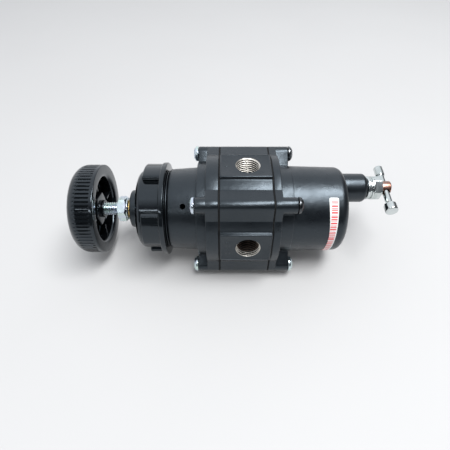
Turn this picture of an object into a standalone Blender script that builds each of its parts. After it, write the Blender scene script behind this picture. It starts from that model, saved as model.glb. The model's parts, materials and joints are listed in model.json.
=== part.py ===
"""Air pressure regulator with a built-in filter bowl, lying on one of its four port pads.

The housing is three castings on one axis: a spring bonnet, a body with four pipe ports, and a bowl
with an off-centre drain boss. A handwheel on a threaded stem loads the range spring, which pushes
the diaphragm and opens the valve. Every number below is in millimetres; the mesh helpers scale to
metres. Each piece is modelled round a local +Z, which lies along world +X, from the diaphragm seam
(z = 0), the knob on the negative side and the drain cock on the positive side. Angles round the
axis run from world +Y towards world +Z.
"""

from math import acos, asin, cos, degrees, pi, radians, sin, sqrt, tau

import bmesh
import bpy
from mathutils import Matrix, Vector

MM = 0.001
GAP = 0.3
UP, AWAY, DOWN, NEAR = 90.0, 0.0, 270.0, 180.0
PAD_ANGLES = (AWAY, UP, NEAR, DOWN)
LUG_ANGLES = (45.0, 135.0, 225.0, 315.0)
VENT_ANGLE = 135.0

# Castings: stations along the axis, then radii
BONNET_NOSE = -55.7
BONNET_NECK = -51.5
BONNET_SHOULDER = -30.7
BONNET_BAND = -13.4
BONNET_FLANGE = -7.8
SEAM_HALF = 0.3
BODY_END = 30.0
GASKET_THICKNESS = 0.5
BOWL_START = BODY_END + GASKET_THICKNESS + 2 * GAP
BOWL_FLANGE_END = 35.3
BOWL_TUBE_END = 43.3
BOWL_END = 75.9
NOSE_RADIUS = 11.9
NECK_RADIUS = 15.6
BONNET_RADIUS_SMALL = 25.1
BONNET_RADIUS_LARGE = 26.4
BAND_RADIUS = 29.7
FLANGE_RADIUS = 34.2
BOWL_RADIUS_LARGE = 27.3
BOWL_RADIUS_SMALL = 26.4
BOWL_CORNER = 4.8
BOWL_ROOT_RADIUS = 26.9
BOWL_ROOT = 33.0
BOWL_BORE = 24.3
BOWL_FLOOR = 72.0
BOWL_FLOOR_RADIUS = 20.5
BONNET_CORE_END = -4.0
SPRING_BORE = 20.5
SPRING_BORE_END = -26.6
BUTTON_BORE = 12.3
BUTTON_BORE_START = -30.1
BUTTON_BORE_END = -44.2
BUSHING_BORE = 5.5
DIAPHRAGM_FREE_RADIUS = 26.5
DIAPHRAGM_FREE_DEPTH = 3.4
VENT_STATION = -21.2
VENT_RADIUS = 1.4

# Lugs and the eight screws
BOLT_RADIUS = 35.3
LUG_TUBE_RADIUS = 4.6
LUG_FLANK = 45.0
SCREW_HOLE_RADIUS = 2.8
SCREW_RADIUS = 2.4
SCREW_LENGTH = 25.6
SCREW_HEAD_RADIUS = 4.9
SCREW_HEAD_HEIGHT = 3.0

# Port pads and quarter-inch pipe ports
PAD_DISTANCE = 34.3
PAD_HALF_WIDTH = 11.0
PAD_DRAFT = 0.15
PORT_STATION = 16.7
PORT_MOUTH_RADIUS = 7.4
PORT_RADIUS = 6.3
PORT_FLOOR = 19.5

# Stem, knob and nuts at the adjusting end
STEM_RADIUS = 4.0
STEM_BORE = 4.3
STEM_TIP = -42.1
STEM_END = -82.7
KNOB_FACE = -89.7
KNOB_ROUNDING = 8.0
KNOB_RIB_START = KNOB_FACE + KNOB_ROUNDING
KNOB_RIB_END = -74.6
KNOB_MOUTH = -72.7
KNOB_RADIUS = 28.0
KNOB_RIB_DEPTH = 0.8
KNOB_RIBS = 72
KNOB_CUP_RADIUS = 20.0
KNOB_LIP = 2.6
KNOB_WEB = -82.8
KNOB_SCREW_SEAT = -84.5
KNOB_STEM_SEAT = -83.0
KNOB_SCREW_RECESS = 4.7
KNOB_SCREW_HOLE = 2.3
KNOB_FACE_RECESS = 9.0
KNOB_HUB_END = -73.5
KNOB_HUB_RADIUS = 5.6
KNOB_BOSS_CORNER = 10.6
KNOB_BOSS_FLAT = 15.0
KNOB_BOSS_END = -75.7
KNOB_SPOKES = 4
KNOB_SPOKE_ANGLE = 80.0
KNOB_SPOKE_START = 12.6
KNOB_SPOKE_END = -75.9
KNOB_SPOKE_HALF = 0.9
KNOB_SCREW_RADIUS = 1.4
KNOB_SCREW_TIP = -75.8
KNOB_SCREW_HEAD_RADIUS = 3.9
KNOB_SCREW_HEAD_TOP = -87.7
STEM_HOLE_RADIUS = 1.75
STEM_HOLE_END = -74.3
LOCK_NUT_OUT = -64.4
LOCK_NUT_IN = -59.2
LOCK_NUT_CORNER = 8.25
LOCK_NUT_FLAT = 127.0
LOCK_WASHER_RADIUS = 7.0
LOCK_WASHER_THICKNESS = 0.6
BUSHING_OUT = -58.0
BUSHING_IN = -45.0
BUSHING_RADIUS = 5.8
BUSHING_THREAD_RADIUS = 5.2
RING_FRONT = -50.2
RING_LOBE_START = -45.5
RING_FLANGE_START = -35.1
RING_BACK = -31.9
RING_BORE = 16.0
RING_FRONT_RADIUS = 19.4
RING_VALLEY_RADIUS = 24.7
RING_LOBE_RADIUS = 28.6
RING_FLANGE_RADIUS = 29.4
RING_LOBE_HALF_ANGLE = 22.0
RING_LOBE_ANGLES = (76.0, 166.0, 256.0, 346.0)
RING_DOME_FOOT = -46.0
RING_DOME = 5.3
RING_DOME_SQUASH = 0.79
PANEL_WASHER_RADIUS = 24.4
PANEL_WASHER_THICKNESS = 0.6

# Working parts inside
BUTTON_TOP = -41.8
BUTTON_RADIUS = 11.5
BUTTON_BOSS_RADIUS = 8.0
BUTTON_THICKNESS = 2.4
SPRING_RADIUS = 9.8
SPRING_WIRE = 1.4
SPRING_TURNS = 6
PLATE_TOP = -3.2
PLATE_RIM_TOP = -4.6
PLATE_RADIUS = 17.0
PLATE_HOLE = 2.5
RELIEF_SEAT_RADIUS = 9.0
RELIEF_SEAT_END = 2.6
RELIEF_STEM_RADIUS = 2.1
RELIEF_STEM_TOP = -6.8
DIAPHRAGM_NUT_CORNER = 4.3
DIAPHRAGM_NUT_TOP = -6.2
SEAT_HOLE = 2.8
SEAT_NECK_RADIUS = 5.0
SEAT_RADIUS = 6.8
SEAT_TOP = 10.6
SEAT_END = 16.2
PLUG_FACE = 16.5
PLUG_BACK = 19.5
PLUG_RADIUS = 5.6
PLUG_PIN_RADIUS = 1.3
PLUG_PIN_TOP = 2.9
PLUG_TAIL_RADIUS = 2.0
PLUG_TAIL_END = 25.5
VALVE_WEB = 12.5
VALVE_WEB_END = 16.5
SEAT_BORE = 5.3
CHAMBER_RADIUS = 12.0
UPPER_CHAMBER_RADIUS = 14.0
UPPER_CHAMBER_START = 4.6
INLET_PASSAGE_RADIUS = 2.9
INLET_PASSAGE_OFFSET = 20.9
OUTLET_PASSAGE_RADIUS = 2.6
OUTLET_PASSAGE_STATION = 12.0
GUIDE_FACE = 26.5
GUIDE_BACK = 30.3
GUIDE_NOSE = 22.0
GUIDE_NOSE_RADIUS = 3.5
GUIDE_BORE = 2.3
GUIDE_BORE_END = 28.0
GUIDE_TAIL_END = 34.0
GUIDE_TAIL_RADIUS = 4.2
GUIDE_TAIL_BORE = 2.2
GUIDE_HOLE_RADIUS = 1.6
GUIDE_HOLE_CIRCLE = 8.0
VALVE_SPRING_RADIUS = 4.6
VALVE_SPRING_WIRE = 0.5
VALVE_SPRING_TURNS = 4
BAFFLE_TOP = 34.4
BAFFLE_THICKNESS = 1.0
BAFFLE_FLAT_RADIUS = 12.0
BAFFLE_RADIUS = 19.6
BAFFLE_SKIRT_END = 38.6
BOLT_HOLE = 2.3
ELEMENT_START = 35.7
ELEMENT_END = 60.0
ELEMENT_RADIUS = 11.0
ELEMENT_WALL = 3.5
CAP_THICKNESS = 2.0
FILTER_BOLT_RADIUS = 1.9
FILTER_BOLT_START = 30.0
FILTER_BOLT_HEAD_RADIUS = 4.2
FILTER_BOLT_HEAD_HEIGHT = 3.4

# Label and drain cock
LABEL_START = 64.0
LABEL_END = 68.8
LABEL_FROM = 124.0
LABEL_TO = 225.0
DRAIN_OFFSET = 13.4
DRAIN_ANGLE = 45.0
DRAIN_BOSS_RADIUS = 9.1
DRAIN_BOSS_END = 92.8
DRAIN_BOSS_ROUNDING = 2.8
DRAIN_BORE = 4.9
DRAIN_PASSAGE = 2.0
DRAIN_SEAT_STATION = 85.0
DRAIN_PLUG_RADIUS = 4.6
DRAIN_PLUG_END = 86.0
DRAIN_NEEDLE_TIP = 92.2
DRAIN_NEEDLE_RADIUS = 2.4
DRAIN_NEEDLE_END = 96.0
DRAIN_STEM_RADIUS = 2.5
DRAIN_STEM_BORE = 2.9
DRAIN_OUTLET_RADIUS = 1.6
DRAIN_COLLAR_RADIUS = 7.4
DRAIN_COLLAR_END = 98.0
DRAIN_HEX_CORNER = 7.5
DRAIN_HEX_END = 102.6
DRAIN_HUB_END = 109.1
DRAIN_HUB_RADIUS = 4.3
DRAIN_BAR_STATION = 106.0
DRAIN_BAR_ANGLE = 189.0
DRAIN_BAR_HALF = 18.6
DRAIN_BAR_SHIFT = 0.9
DRAIN_BAR_RADIUS = 2.3
DRAIN_BAR_END_RADIUS = 3.9
DRAIN_BAR_TAIL_RADIUS = 2.9

BOX_END = DRAIN_BAR_STATION + DRAIN_BAR_END_RADIUS
SEAM_X = -(KNOB_FACE + BOX_END) / 2


# ---------------------------------------------------------------- scene helpers

def clear_scene():
    for obj in list(bpy.data.objects):
        bpy.data.objects.remove(obj, do_unlink=True)


def new_collection(name):
    collection = bpy.data.collections.new(name)
    bpy.context.scene.collection.children.link(collection)
    return collection


def make_material(name, color, roughness, metallic):
    material = bpy.data.materials.new(name)
    material.use_nodes = True
    shader = material.node_tree.nodes["Principled BSDF"]
    shader.inputs["Base Color"].default_value = (*color, 1.0)
    shader.inputs["Roughness"].default_value = roughness
    shader.inputs["Metallic"].default_value = metallic
    material.diffuse_color = (*color, 1.0)
    return material


def add_axis(name, parent=None, location=(0, 0, 0), rotation=(0, 0, 0)):
    axis = bpy.data.objects.new(name, None)
    axis.empty_display_size = 10 * MM
    axis.parent = parent
    axis.location = [value * MM for value in location]
    axis.rotation_euler = rotation
    PARTS.objects.link(axis)
    return axis


def add_part(name, mesh, material, axis=None):
    """A named sub-part on an axis empty, the main one unless another is given."""
    part = bpy.data.objects.new(name, mesh)
    part.parent = axis or MAIN_AXIS
    if material:
        mesh.materials.clear()
        mesh.materials.append(material)
    PARTS.objects.link(part)
    return part


def add_tool(mesh, axis=None):
    """A shape that is only added to or cut from a part."""
    tool = bpy.data.objects.new("tool", mesh)
    tool.parent = axis or MAIN_AXIS
    tool.hide_render = True
    tool.display_type = "WIRE"
    TOOLS.objects.link(tool)
    return tool


def boolean(part, tool, operation):
    modifier = part.modifiers.new(operation.lower(), "BOOLEAN")
    modifier.operation = operation
    modifier.object = tool
    modifier.solver = "EXACT"


def join(part, tool):
    boolean(part, tool, "UNION")


def cut(part, tool):
    boolean(part, tool, "DIFFERENCE")


def freeze(part):
    """The part's evaluated mesh, with no modifiers left."""
    bpy.context.view_layer.update()
    graph = bpy.context.evaluated_depsgraph_get()
    return bpy.data.meshes.new_from_object(part.evaluated_get(graph))


def shade_parts():
    """Settles each part's modifiers and shades it smooth between its sharp edges."""
    for part in PARTS.objects:
        if part.type != "MESH":
            continue
        if part.modifiers:
            part.data = freeze(part)
            part.modifiers.clear()
        part.data.shade_smooth()
        part.data.set_sharp_from_angle(angle=radians(35))


# ---------------------------------------------------------------- shape helpers

def polar(radius, angle):
    """A point round the axis, in local X and Y: local X is world -Z, and local Y is world Y."""
    return (-radius * sin(radians(angle)), radius * cos(radians(angle)))


def placed(points, angle):
    """(outward, sideways) points turned to a direction round the axis, as polar turns a radius."""
    c, s = cos(radians(angle)), sin(radians(angle))
    return [(-(a * s + b * c), a * c - b * s) for a, b in points]


def circle(radius, count, centre=(0.0, 0.0), start=0.0):
    steps = [start + 360 * i / count for i in range(count)]
    return [(centre[0] + x, centre[1] + y) for x, y in (polar(radius, a) for a in steps)]


def arc(centre, radius, start, end, parts):
    """Points of an arc; angles in degrees from the first coordinate towards the second."""
    angles = [radians(start + (end - start) * i / parts) for i in range(parts + 1)]
    return [(centre[0] + radius * cos(a), centre[1] + radius * sin(a)) for a in angles]


def turned_mesh(profile, closed=False):
    """(radius, z) points as one line of edges, running down the outer side."""
    doubled_area = sum(
        a[0] * b[1] - b[0] * a[1] for a, b in zip(profile, profile[1:] + profile[:1])
    )
    if doubled_area > 0:
        profile = profile[::-1]
    points = [(r * MM, 0.0, z * MM) for r, z in profile]
    edges = [(i, i + 1) for i in range(len(points) - 1)]
    if closed:
        edges.append((len(points) - 1, 0))
    mesh = bpy.data.meshes.new("profile")
    mesh.from_pydata(points, edges, [])
    return mesh


def turn(obj, steps):
    screw = obj.modifiers.new("turn", "SCREW")
    screw.axis = "Z"
    screw.angle = tau
    screw.steps = steps
    screw.render_steps = steps
    screw.use_merge_vertices = True
    screw.merge_threshold = 1e-6
    return obj


def turned(name, profile, material, steps=32, closed=False, axis=None):
    return turn(add_part(name, turned_mesh(profile, closed), material, axis), steps)


def turned_tool(profile, steps=32, closed=False, axis=None):
    return turn(add_tool(turned_mesh(profile, closed), axis), steps)


def flat_mesh(loops, low, high):
    """A flat outline, with any holes, as thick as the stretch from low to high.

    Blender's fill leaves slits where far corners line up, so it works on a turned outline.
    """
    turn_for_fill = Matrix.Rotation(radians(11), 3, "Z")
    curve = bpy.data.curves.new("outline", "CURVE")
    curve.dimensions = "2D"
    curve.fill_mode = "BOTH"
    curve.extrude = (high - low) / 2 * MM
    for loop in loops:
        spline = curve.splines.new("POLY")
        spline.points.add(len(loop) - 1)
        for point, (x, y) in zip(spline.points, loop):
            point.co = (*(turn_for_fill @ Vector((x * MM, y * MM, 0.0))), 1.0)
        spline.use_cyclic_u = True
    guide = bpy.data.objects.new("outline", curve)
    TOOLS.objects.link(guide)
    mesh = freeze(guide)
    bpy.data.objects.remove(guide)
    shape = bmesh.new()
    shape.from_mesh(mesh)
    bmesh.ops.remove_doubles(shape, verts=shape.verts, dist=1e-7)
    bmesh.ops.rotate(shape, verts=shape.verts, matrix=turn_for_fill.inverted())
    bmesh.ops.translate(shape, verts=shape.verts, vec=(0, 0, (low + high) / 2 * MM))
    bmesh.ops.recalc_face_normals(shape, faces=shape.faces)
    shape.to_mesh(mesh)
    shape.free()
    return mesh


def cylinder_mesh(radius, low, high, sides):
    mesh = bpy.data.meshes.new("cylinder")
    shape = bmesh.new()
    bmesh.ops.create_cone(
        shape,
        cap_ends=True,
        segments=sides,
        radius1=radius * MM,
        radius2=radius * MM,
        depth=(high - low) * MM,
        matrix=Matrix.Translation((0, 0, (low + high) / 2 * MM)),
    )
    shape.to_mesh(mesh)
    shape.free()
    return mesh


def box_mesh(low, high):
    mesh = bpy.data.meshes.new("box")
    shape = bmesh.new()
    middle = [(a + b) / 2 * MM for a, b in zip(low, high)]
    size = [(b - a) * MM for a, b in zip(low, high)]
    scale = Matrix.Diagonal((*size, 1.0))
    bmesh.ops.create_cube(shape, size=1.0, matrix=Matrix.Translation(middle) @ scale)
    shape.to_mesh(mesh)
    shape.free()
    return mesh


def point_outward(obj, angle, station):
    """Turns an object's own Z to a direction round the axis, at a station along it."""
    obj.rotation_euler = (-pi / 2, 0, radians(angle))
    obj.location = (0, 0, station * MM)
    return obj


def coil(name, radius, wire, low, high, turns, per_turn, material):
    """A compression spring between two planes: a round wire whose outside touches both."""
    curve = bpy.data.curves.new(name, "CURVE")
    curve.dimensions = "3D"
    curve.bevel_depth = wire * MM
    curve.bevel_resolution = 2
    curve.use_fill_caps = True
    count = turns * per_turn + 1
    spline = curve.splines.new("POLY")
    spline.points.add(count - 1)
    for i, point in enumerate(spline.points):
        x, y = polar(radius, 360 * i / per_turn)
        z = low + wire + (high - low - 2 * wire) * i / (count - 1)
        point.co = (x * MM, y * MM, z * MM, 1.0)
    curve.materials.append(material)
    spring = bpy.data.objects.new(name, curve)
    spring.parent = MAIN_AXIS
    PARTS.objects.link(spring)
    return spring


# ---------------------------------------------------------------- outlines

def wide_lug(radius):
    """(outward, sideways) points of a screw lug whose flanks slope down to a round flange."""
    reach = BOLT_RADIUS * cos(radians(LUG_FLANK)) + LUG_TUBE_RADIUS
    half = LUG_FLANK - degrees(acos(reach / radius))
    crest = arc((BOLT_RADIUS, 0.0), LUG_TUBE_RADIUS, -LUG_FLANK, LUG_FLANK, 4)
    foot = (radius * cos(radians(half)), radius * sin(radians(half)))
    return half, [(foot[0], -foot[1]), *crest, foot]


def tube_lug(radius):
    """The same for a screw tube that stands on a round band with straight sides."""
    half = degrees(asin(LUG_TUBE_RADIUS / radius))
    foot = sqrt(radius**2 - LUG_TUBE_RADIUS**2)
    crest = arc((BOLT_RADIUS, 0.0), LUG_TUBE_RADIUS, -90, 90, 6)
    return half, [(foot, -LUG_TUBE_RADIUS), *crest, (foot, LUG_TUBE_RADIUS)]


def flange_outline(radius, lug):
    """A round flange with a lug at each screw."""
    half, points = lug(radius)
    parts = 7
    loop = []
    for angle in LUG_ANGLES:
        loop += placed(points, angle)
        start, end = angle + half, angle + 90 - half
        loop += [polar(radius, start + (end - start) * i / parts) for i in range(1, parts)]
    return loop


def body_outline():
    """The flange outline with a flat pad between each two lugs."""
    half, lug = wide_lug(FLANGE_RADIUS)
    side, foot = PAD_HALF_WIDTH, PAD_HALF_WIDTH + PAD_DRAFT
    edge = sqrt(FLANGE_RADIUS**2 - foot**2)
    pad = [(edge, -foot), (PAD_DISTANCE, -side), (PAD_DISTANCE, side), (edge, foot)]
    loop = []
    for angle in LUG_ANGLES:
        loop += placed(lug, angle)
        loop += [polar(FLANGE_RADIUS, angle + half + 5)]
        loop += placed(pad, angle + 45)
        loop += [polar(FLANGE_RADIUS, angle + 90 - half - 5)]
    return loop


def screw_holes(radius=SCREW_HOLE_RADIUS):
    return [circle(radius, 10, polar(BOLT_RADIUS, angle)) for angle in LUG_ANGLES]


def hexagon(corner, flat_angle):
    """Six corners, with the middle of one flat facing an angle round the axis."""
    return circle(corner, 6, start=flat_angle + 30)


def drill_screw_holes(part, low, high):
    for angle in LUG_ANGLES:
        drill = add_tool(cylinder_mesh(SCREW_HOLE_RADIUS, low, high, 10))
        x, y = polar(BOLT_RADIUS, angle)
        drill.location = (x * MM, y * MM, 0)
        cut(part, drill)


# ---------------------------------------------------------------- adjusting end

def make_knob():
    valley = KNOB_RADIUS - KNOB_RIB_DEPTH
    core = valley - 0.2
    rounding = arc((core - KNOB_ROUNDING, KNOB_RIB_START), KNOB_ROUNDING, 0, -90, 5)
    lip_centre = (KNOB_CUP_RADIUS + KNOB_LIP, KNOB_MOUTH - KNOB_LIP)
    profile = [
        (core, KNOB_MOUTH),
        *rounding,
        (KNOB_FACE_RECESS + 0.6, KNOB_FACE),
        (KNOB_FACE_RECESS, KNOB_FACE + 0.6),
        (KNOB_SCREW_RECESS, KNOB_FACE + 0.6),
        (KNOB_SCREW_RECESS, KNOB_SCREW_SEAT),
        (KNOB_SCREW_HOLE, KNOB_SCREW_SEAT),
        (KNOB_SCREW_HOLE, KNOB_STEM_SEAT),
        (STEM_BORE, KNOB_STEM_SEAT),
        (STEM_BORE, KNOB_HUB_END),
        (KNOB_HUB_RADIUS, KNOB_HUB_END),
        (KNOB_HUB_RADIUS, KNOB_WEB),
        (KNOB_CUP_RADIUS - 1.5, KNOB_WEB),
        (KNOB_CUP_RADIUS, KNOB_WEB + 1.5),
        *arc(lip_centre, KNOB_LIP, 180, 90, 3),
    ]
    knob = turned("knob", profile, GLOSS_BLACK, steps=40, closed=True)
    teeth = 2 * KNOB_RIBS
    radii = (KNOB_RADIUS, valley)
    grip = [polar(radii[i % 2], 360 * i / teeth) for i in range(teeth)]
    hollow = circle(core - 3, 24)
    join(knob, add_tool(flat_mesh([grip, hollow], KNOB_RIB_START + 0.4, KNOB_RIB_END)))
    boss = hexagon(KNOB_BOSS_CORNER, KNOB_BOSS_FLAT)
    bore = circle(KNOB_HUB_RADIUS - 1, 16)
    join(knob, add_tool(flat_mesh([boss, bore], KNOB_WEB - 1, KNOB_BOSS_END)))
    low = (KNOB_SPOKE_START, -KNOB_SPOKE_HALF, KNOB_WEB - 1)
    high = (KNOB_CUP_RADIUS + 1, KNOB_SPOKE_HALF, KNOB_SPOKE_END)
    for i in range(KNOB_SPOKES):
        spoke = add_tool(box_mesh(low, high))
        spoke.rotation_euler.z = radians(KNOB_SPOKE_ANGLE + 360 * i / KNOB_SPOKES)
        join(knob, spoke)


def make_knob_screw():
    under_head = KNOB_SCREW_SEAT - GAP
    profile = [
        (0, KNOB_SCREW_TIP),
        (KNOB_SCREW_RADIUS, KNOB_SCREW_TIP),
        (KNOB_SCREW_RADIUS, under_head),
        (KNOB_SCREW_HEAD_RADIUS, under_head),
        (KNOB_SCREW_HEAD_RADIUS, under_head - 1.5),
        (KNOB_SCREW_HEAD_RADIUS - 1.3, KNOB_SCREW_HEAD_TOP + 0.2),
        (0, KNOB_SCREW_HEAD_TOP),
    ]
    screw = turned("knob_screw", profile, ZINC, steps=16)
    low = (-0.45, -2.2, KNOB_SCREW_HEAD_TOP - 1)
    high = (0.45, 2.2, KNOB_SCREW_HEAD_TOP + 1.3)
    for turn_angle in (0, 90):
        slot = add_tool(box_mesh(low, high))
        slot.rotation_euler.z = radians(turn_angle)
        cut(screw, slot)


def make_adjusting_screw():
    profile = [
        (0, STEM_TIP),
        (2.8, STEM_TIP),
        (STEM_RADIUS, STEM_TIP - 1.2),
        (STEM_RADIUS, STEM_END + 0.6),
        (STEM_RADIUS - 0.6, STEM_END),
        (STEM_HOLE_RADIUS, STEM_END),
        (STEM_HOLE_RADIUS, STEM_HOLE_END - 0.5),
        (0, STEM_HOLE_END),
    ]
    turned("adjusting_screw", profile, ZINC, steps=24)


def make_lock_nut():
    flats = hexagon(LOCK_NUT_CORNER, LOCK_NUT_FLAT)
    bore = circle(STEM_BORE, 24)
    nut = add_part("lock_nut", flat_mesh([flats, bore], LOCK_NUT_OUT, LOCK_NUT_IN), ZINC)
    for end, inward in ((LOCK_NUT_OUT, 1), (LOCK_NUT_IN, -1)):
        chamfer = [
            (LOCK_NUT_CORNER - 0.9, end - inward),
            (LOCK_NUT_CORNER + 1, end - inward),
            (LOCK_NUT_CORNER + 1, end + 1.1 * inward),
            (LOCK_NUT_CORNER - 0.9, end),
        ]
        cut(nut, turned_tool(chamfer, steps=24, closed=True))


def make_lock_washer():
    rings = [circle(LOCK_WASHER_RADIUS, 24), circle(STEM_BORE, 24)]
    low = LOCK_NUT_IN + GAP
    add_part("lock_washer", flat_mesh(rings, low, low + LOCK_WASHER_THICKNESS), ZINC)


def make_stem_bushing():
    shoulder = BONNET_NOSE - GAP
    profile = [
        (STEM_BORE, BUSHING_IN),
        (BUSHING_THREAD_RADIUS, BUSHING_IN),
        (BUSHING_THREAD_RADIUS, shoulder),
        (BUSHING_RADIUS, shoulder),
        (BUSHING_RADIUS, BUSHING_OUT + 0.5),
        (BUSHING_RADIUS - 0.5, BUSHING_OUT),
        (STEM_BORE, BUSHING_OUT),
    ]
    turned("stem_bushing", profile, BRASS, steps=24, closed=True)


def make_ring_nut():
    foot = RING_DOME_FOOT
    dome = arc((RING_FRONT_RADIUS, foot), RING_DOME, 0, -90, 4)
    dome = [(r, foot + (z - foot) * RING_DOME_SQUASH) for r, z in dome]
    profile = [
        (RING_BORE, RING_BACK),
        (RING_FLANGE_RADIUS - 0.8, RING_BACK),
        (RING_FLANGE_RADIUS, RING_BACK - 0.8),
        (RING_FLANGE_RADIUS, RING_FLANGE_START + 0.8),
        (RING_FLANGE_RADIUS - 0.8, RING_FLANGE_START),
        (RING_VALLEY_RADIUS, RING_FLANGE_START),
        *dome,
        (RING_BORE + 0.6, RING_FRONT),
        (RING_BORE, RING_FRONT + 0.6),
    ]
    nut = turned("ring_nut", profile, GLOSS_BLACK, steps=40, closed=True)
    grip = []
    half = RING_LOBE_HALF_ANGLE
    for angle in RING_LOBE_ANGLES:
        grip += [polar(RING_VALLEY_RADIUS - 0.6, angle - half - 1)]
        grip += [polar(RING_LOBE_RADIUS, angle - half + i * half / 3) for i in range(7)]
        grip += [polar(RING_VALLEY_RADIUS - 0.6, angle + half + 1)]
    hollow = circle(RING_FRONT_RADIUS + 1, 24)
    join(nut, add_tool(flat_mesh([grip, hollow], RING_LOBE_START, RING_FLANGE_START + 0.5)))


def make_panel_washer():
    rings = [circle(PANEL_WASHER_RADIUS, 36), circle(RING_BORE, 36)]
    low = RING_BACK + GAP
    high = low + PANEL_WASHER_THICKNESS
    add_part("panel_washer", flat_mesh(rings, low, high), RUBBER)


# ---------------------------------------------------------------- castings

def make_bonnet():
    flange = flange_outline(FLANGE_RADIUS, wide_lug)
    low = BONNET_FLANGE
    bonnet = add_part("bonnet", flat_mesh([flange], low, -SEAM_HALF - GAP), CAST_BLACK)
    band = flange_outline(BAND_RADIUS, tube_lug)
    join(bonnet, add_tool(flat_mesh([band], BONNET_BAND, BONNET_FLANGE + 1)))
    core = [
        (0, BONNET_CORE_END),
        (BONNET_RADIUS_LARGE, BONNET_CORE_END),
        (BONNET_RADIUS_LARGE, BONNET_BAND),
        (BONNET_RADIUS_SMALL, BONNET_SHOULDER),
        (NECK_RADIUS, BONNET_SHOULDER),
        (NECK_RADIUS, BONNET_NECK),
        (NOSE_RADIUS, BONNET_NECK),
        (NOSE_RADIUS, BONNET_NOSE + 1.0),
        (NOSE_RADIUS - 1.0, BONNET_NOSE),
        (0, BONNET_NOSE),
    ]
    join(bonnet, turned_tool(core, steps=40))
    hollow = [
        (0, 1.0),
        (DIAPHRAGM_FREE_RADIUS, 1.0),
        (DIAPHRAGM_FREE_RADIUS, -DIAPHRAGM_FREE_DEPTH),
        (SPRING_BORE, -DIAPHRAGM_FREE_DEPTH - 1.6),
        (SPRING_BORE, SPRING_BORE_END),
        (BUTTON_BORE, BUTTON_BORE_START),
        (BUTTON_BORE, BUTTON_BORE_END),
        (BUSHING_BORE, BUTTON_BORE_END),
        (BUSHING_BORE, BONNET_NOSE - 1),
        (0, BONNET_NOSE - 1),
    ]
    cut(bonnet, turned_tool(hollow, steps=24))
    drill_screw_holes(bonnet, BONNET_BAND - 1, 1)
    vent = add_tool(cylinder_mesh(VENT_RADIUS, BONNET_RADIUS_SMALL - 6, FLANGE_RADIUS, 12))
    cut(bonnet, point_outward(vent, VENT_ANGLE, VENT_STATION))


def port_cutter(angle):
    profile = [
        (0, PAD_DISTANCE + 2),
        (PORT_MOUTH_RADIUS + 1.9, PAD_DISTANCE + 2),
        (PORT_MOUTH_RADIUS, PAD_DISTANCE),
        (PORT_RADIUS + 0.3, PAD_DISTANCE - 1.3),
        (PORT_RADIUS, PORT_FLOOR + 0.6),
        (0, PORT_FLOOR),
    ]
    return point_outward(turned_tool(profile, steps=24), angle, PORT_STATION)


def make_body():
    low = SEAM_HALF + GAP
    body = add_part("body", flat_mesh([body_outline()], low, BODY_END), CAST_BLACK)
    chambers = [
        (0, BODY_END + 2),
        (CHAMBER_RADIUS, BODY_END + 2),
        (CHAMBER_RADIUS, VALVE_WEB_END),
        (SEAT_BORE, VALVE_WEB_END),
        (SEAT_BORE, VALVE_WEB),
        (UPPER_CHAMBER_RADIUS, VALVE_WEB),
        (UPPER_CHAMBER_RADIUS, UPPER_CHAMBER_START),
        (DIAPHRAGM_FREE_RADIUS - 0.5, UPPER_CHAMBER_START - 0.6),
        (DIAPHRAGM_FREE_RADIUS - 0.5, -1.0),
        (0, -1.0),
    ]
    cut(body, turned_tool(chambers, steps=24))
    drill_screw_holes(body, -1, BODY_END + 1)
    for angle in PAD_ANGLES:
        cut(body, port_cutter(angle))
    inlet_x, inlet_y = polar(INLET_PASSAGE_OFFSET, NEAR)
    inlet = add_tool(cylinder_mesh(INLET_PASSAGE_RADIUS, PORT_STATION, BODY_END + 1, 12))
    inlet.location = (inlet_x * MM, inlet_y * MM, 0)
    cut(body, inlet)
    for angle in (AWAY, UP, DOWN):
        outlet = add_tool(cylinder_mesh(OUTLET_PASSAGE_RADIUS, 8, PORT_FLOOR + 1, 12))
        cut(body, point_outward(outlet, angle, OUTLET_PASSAGE_STATION))


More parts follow.
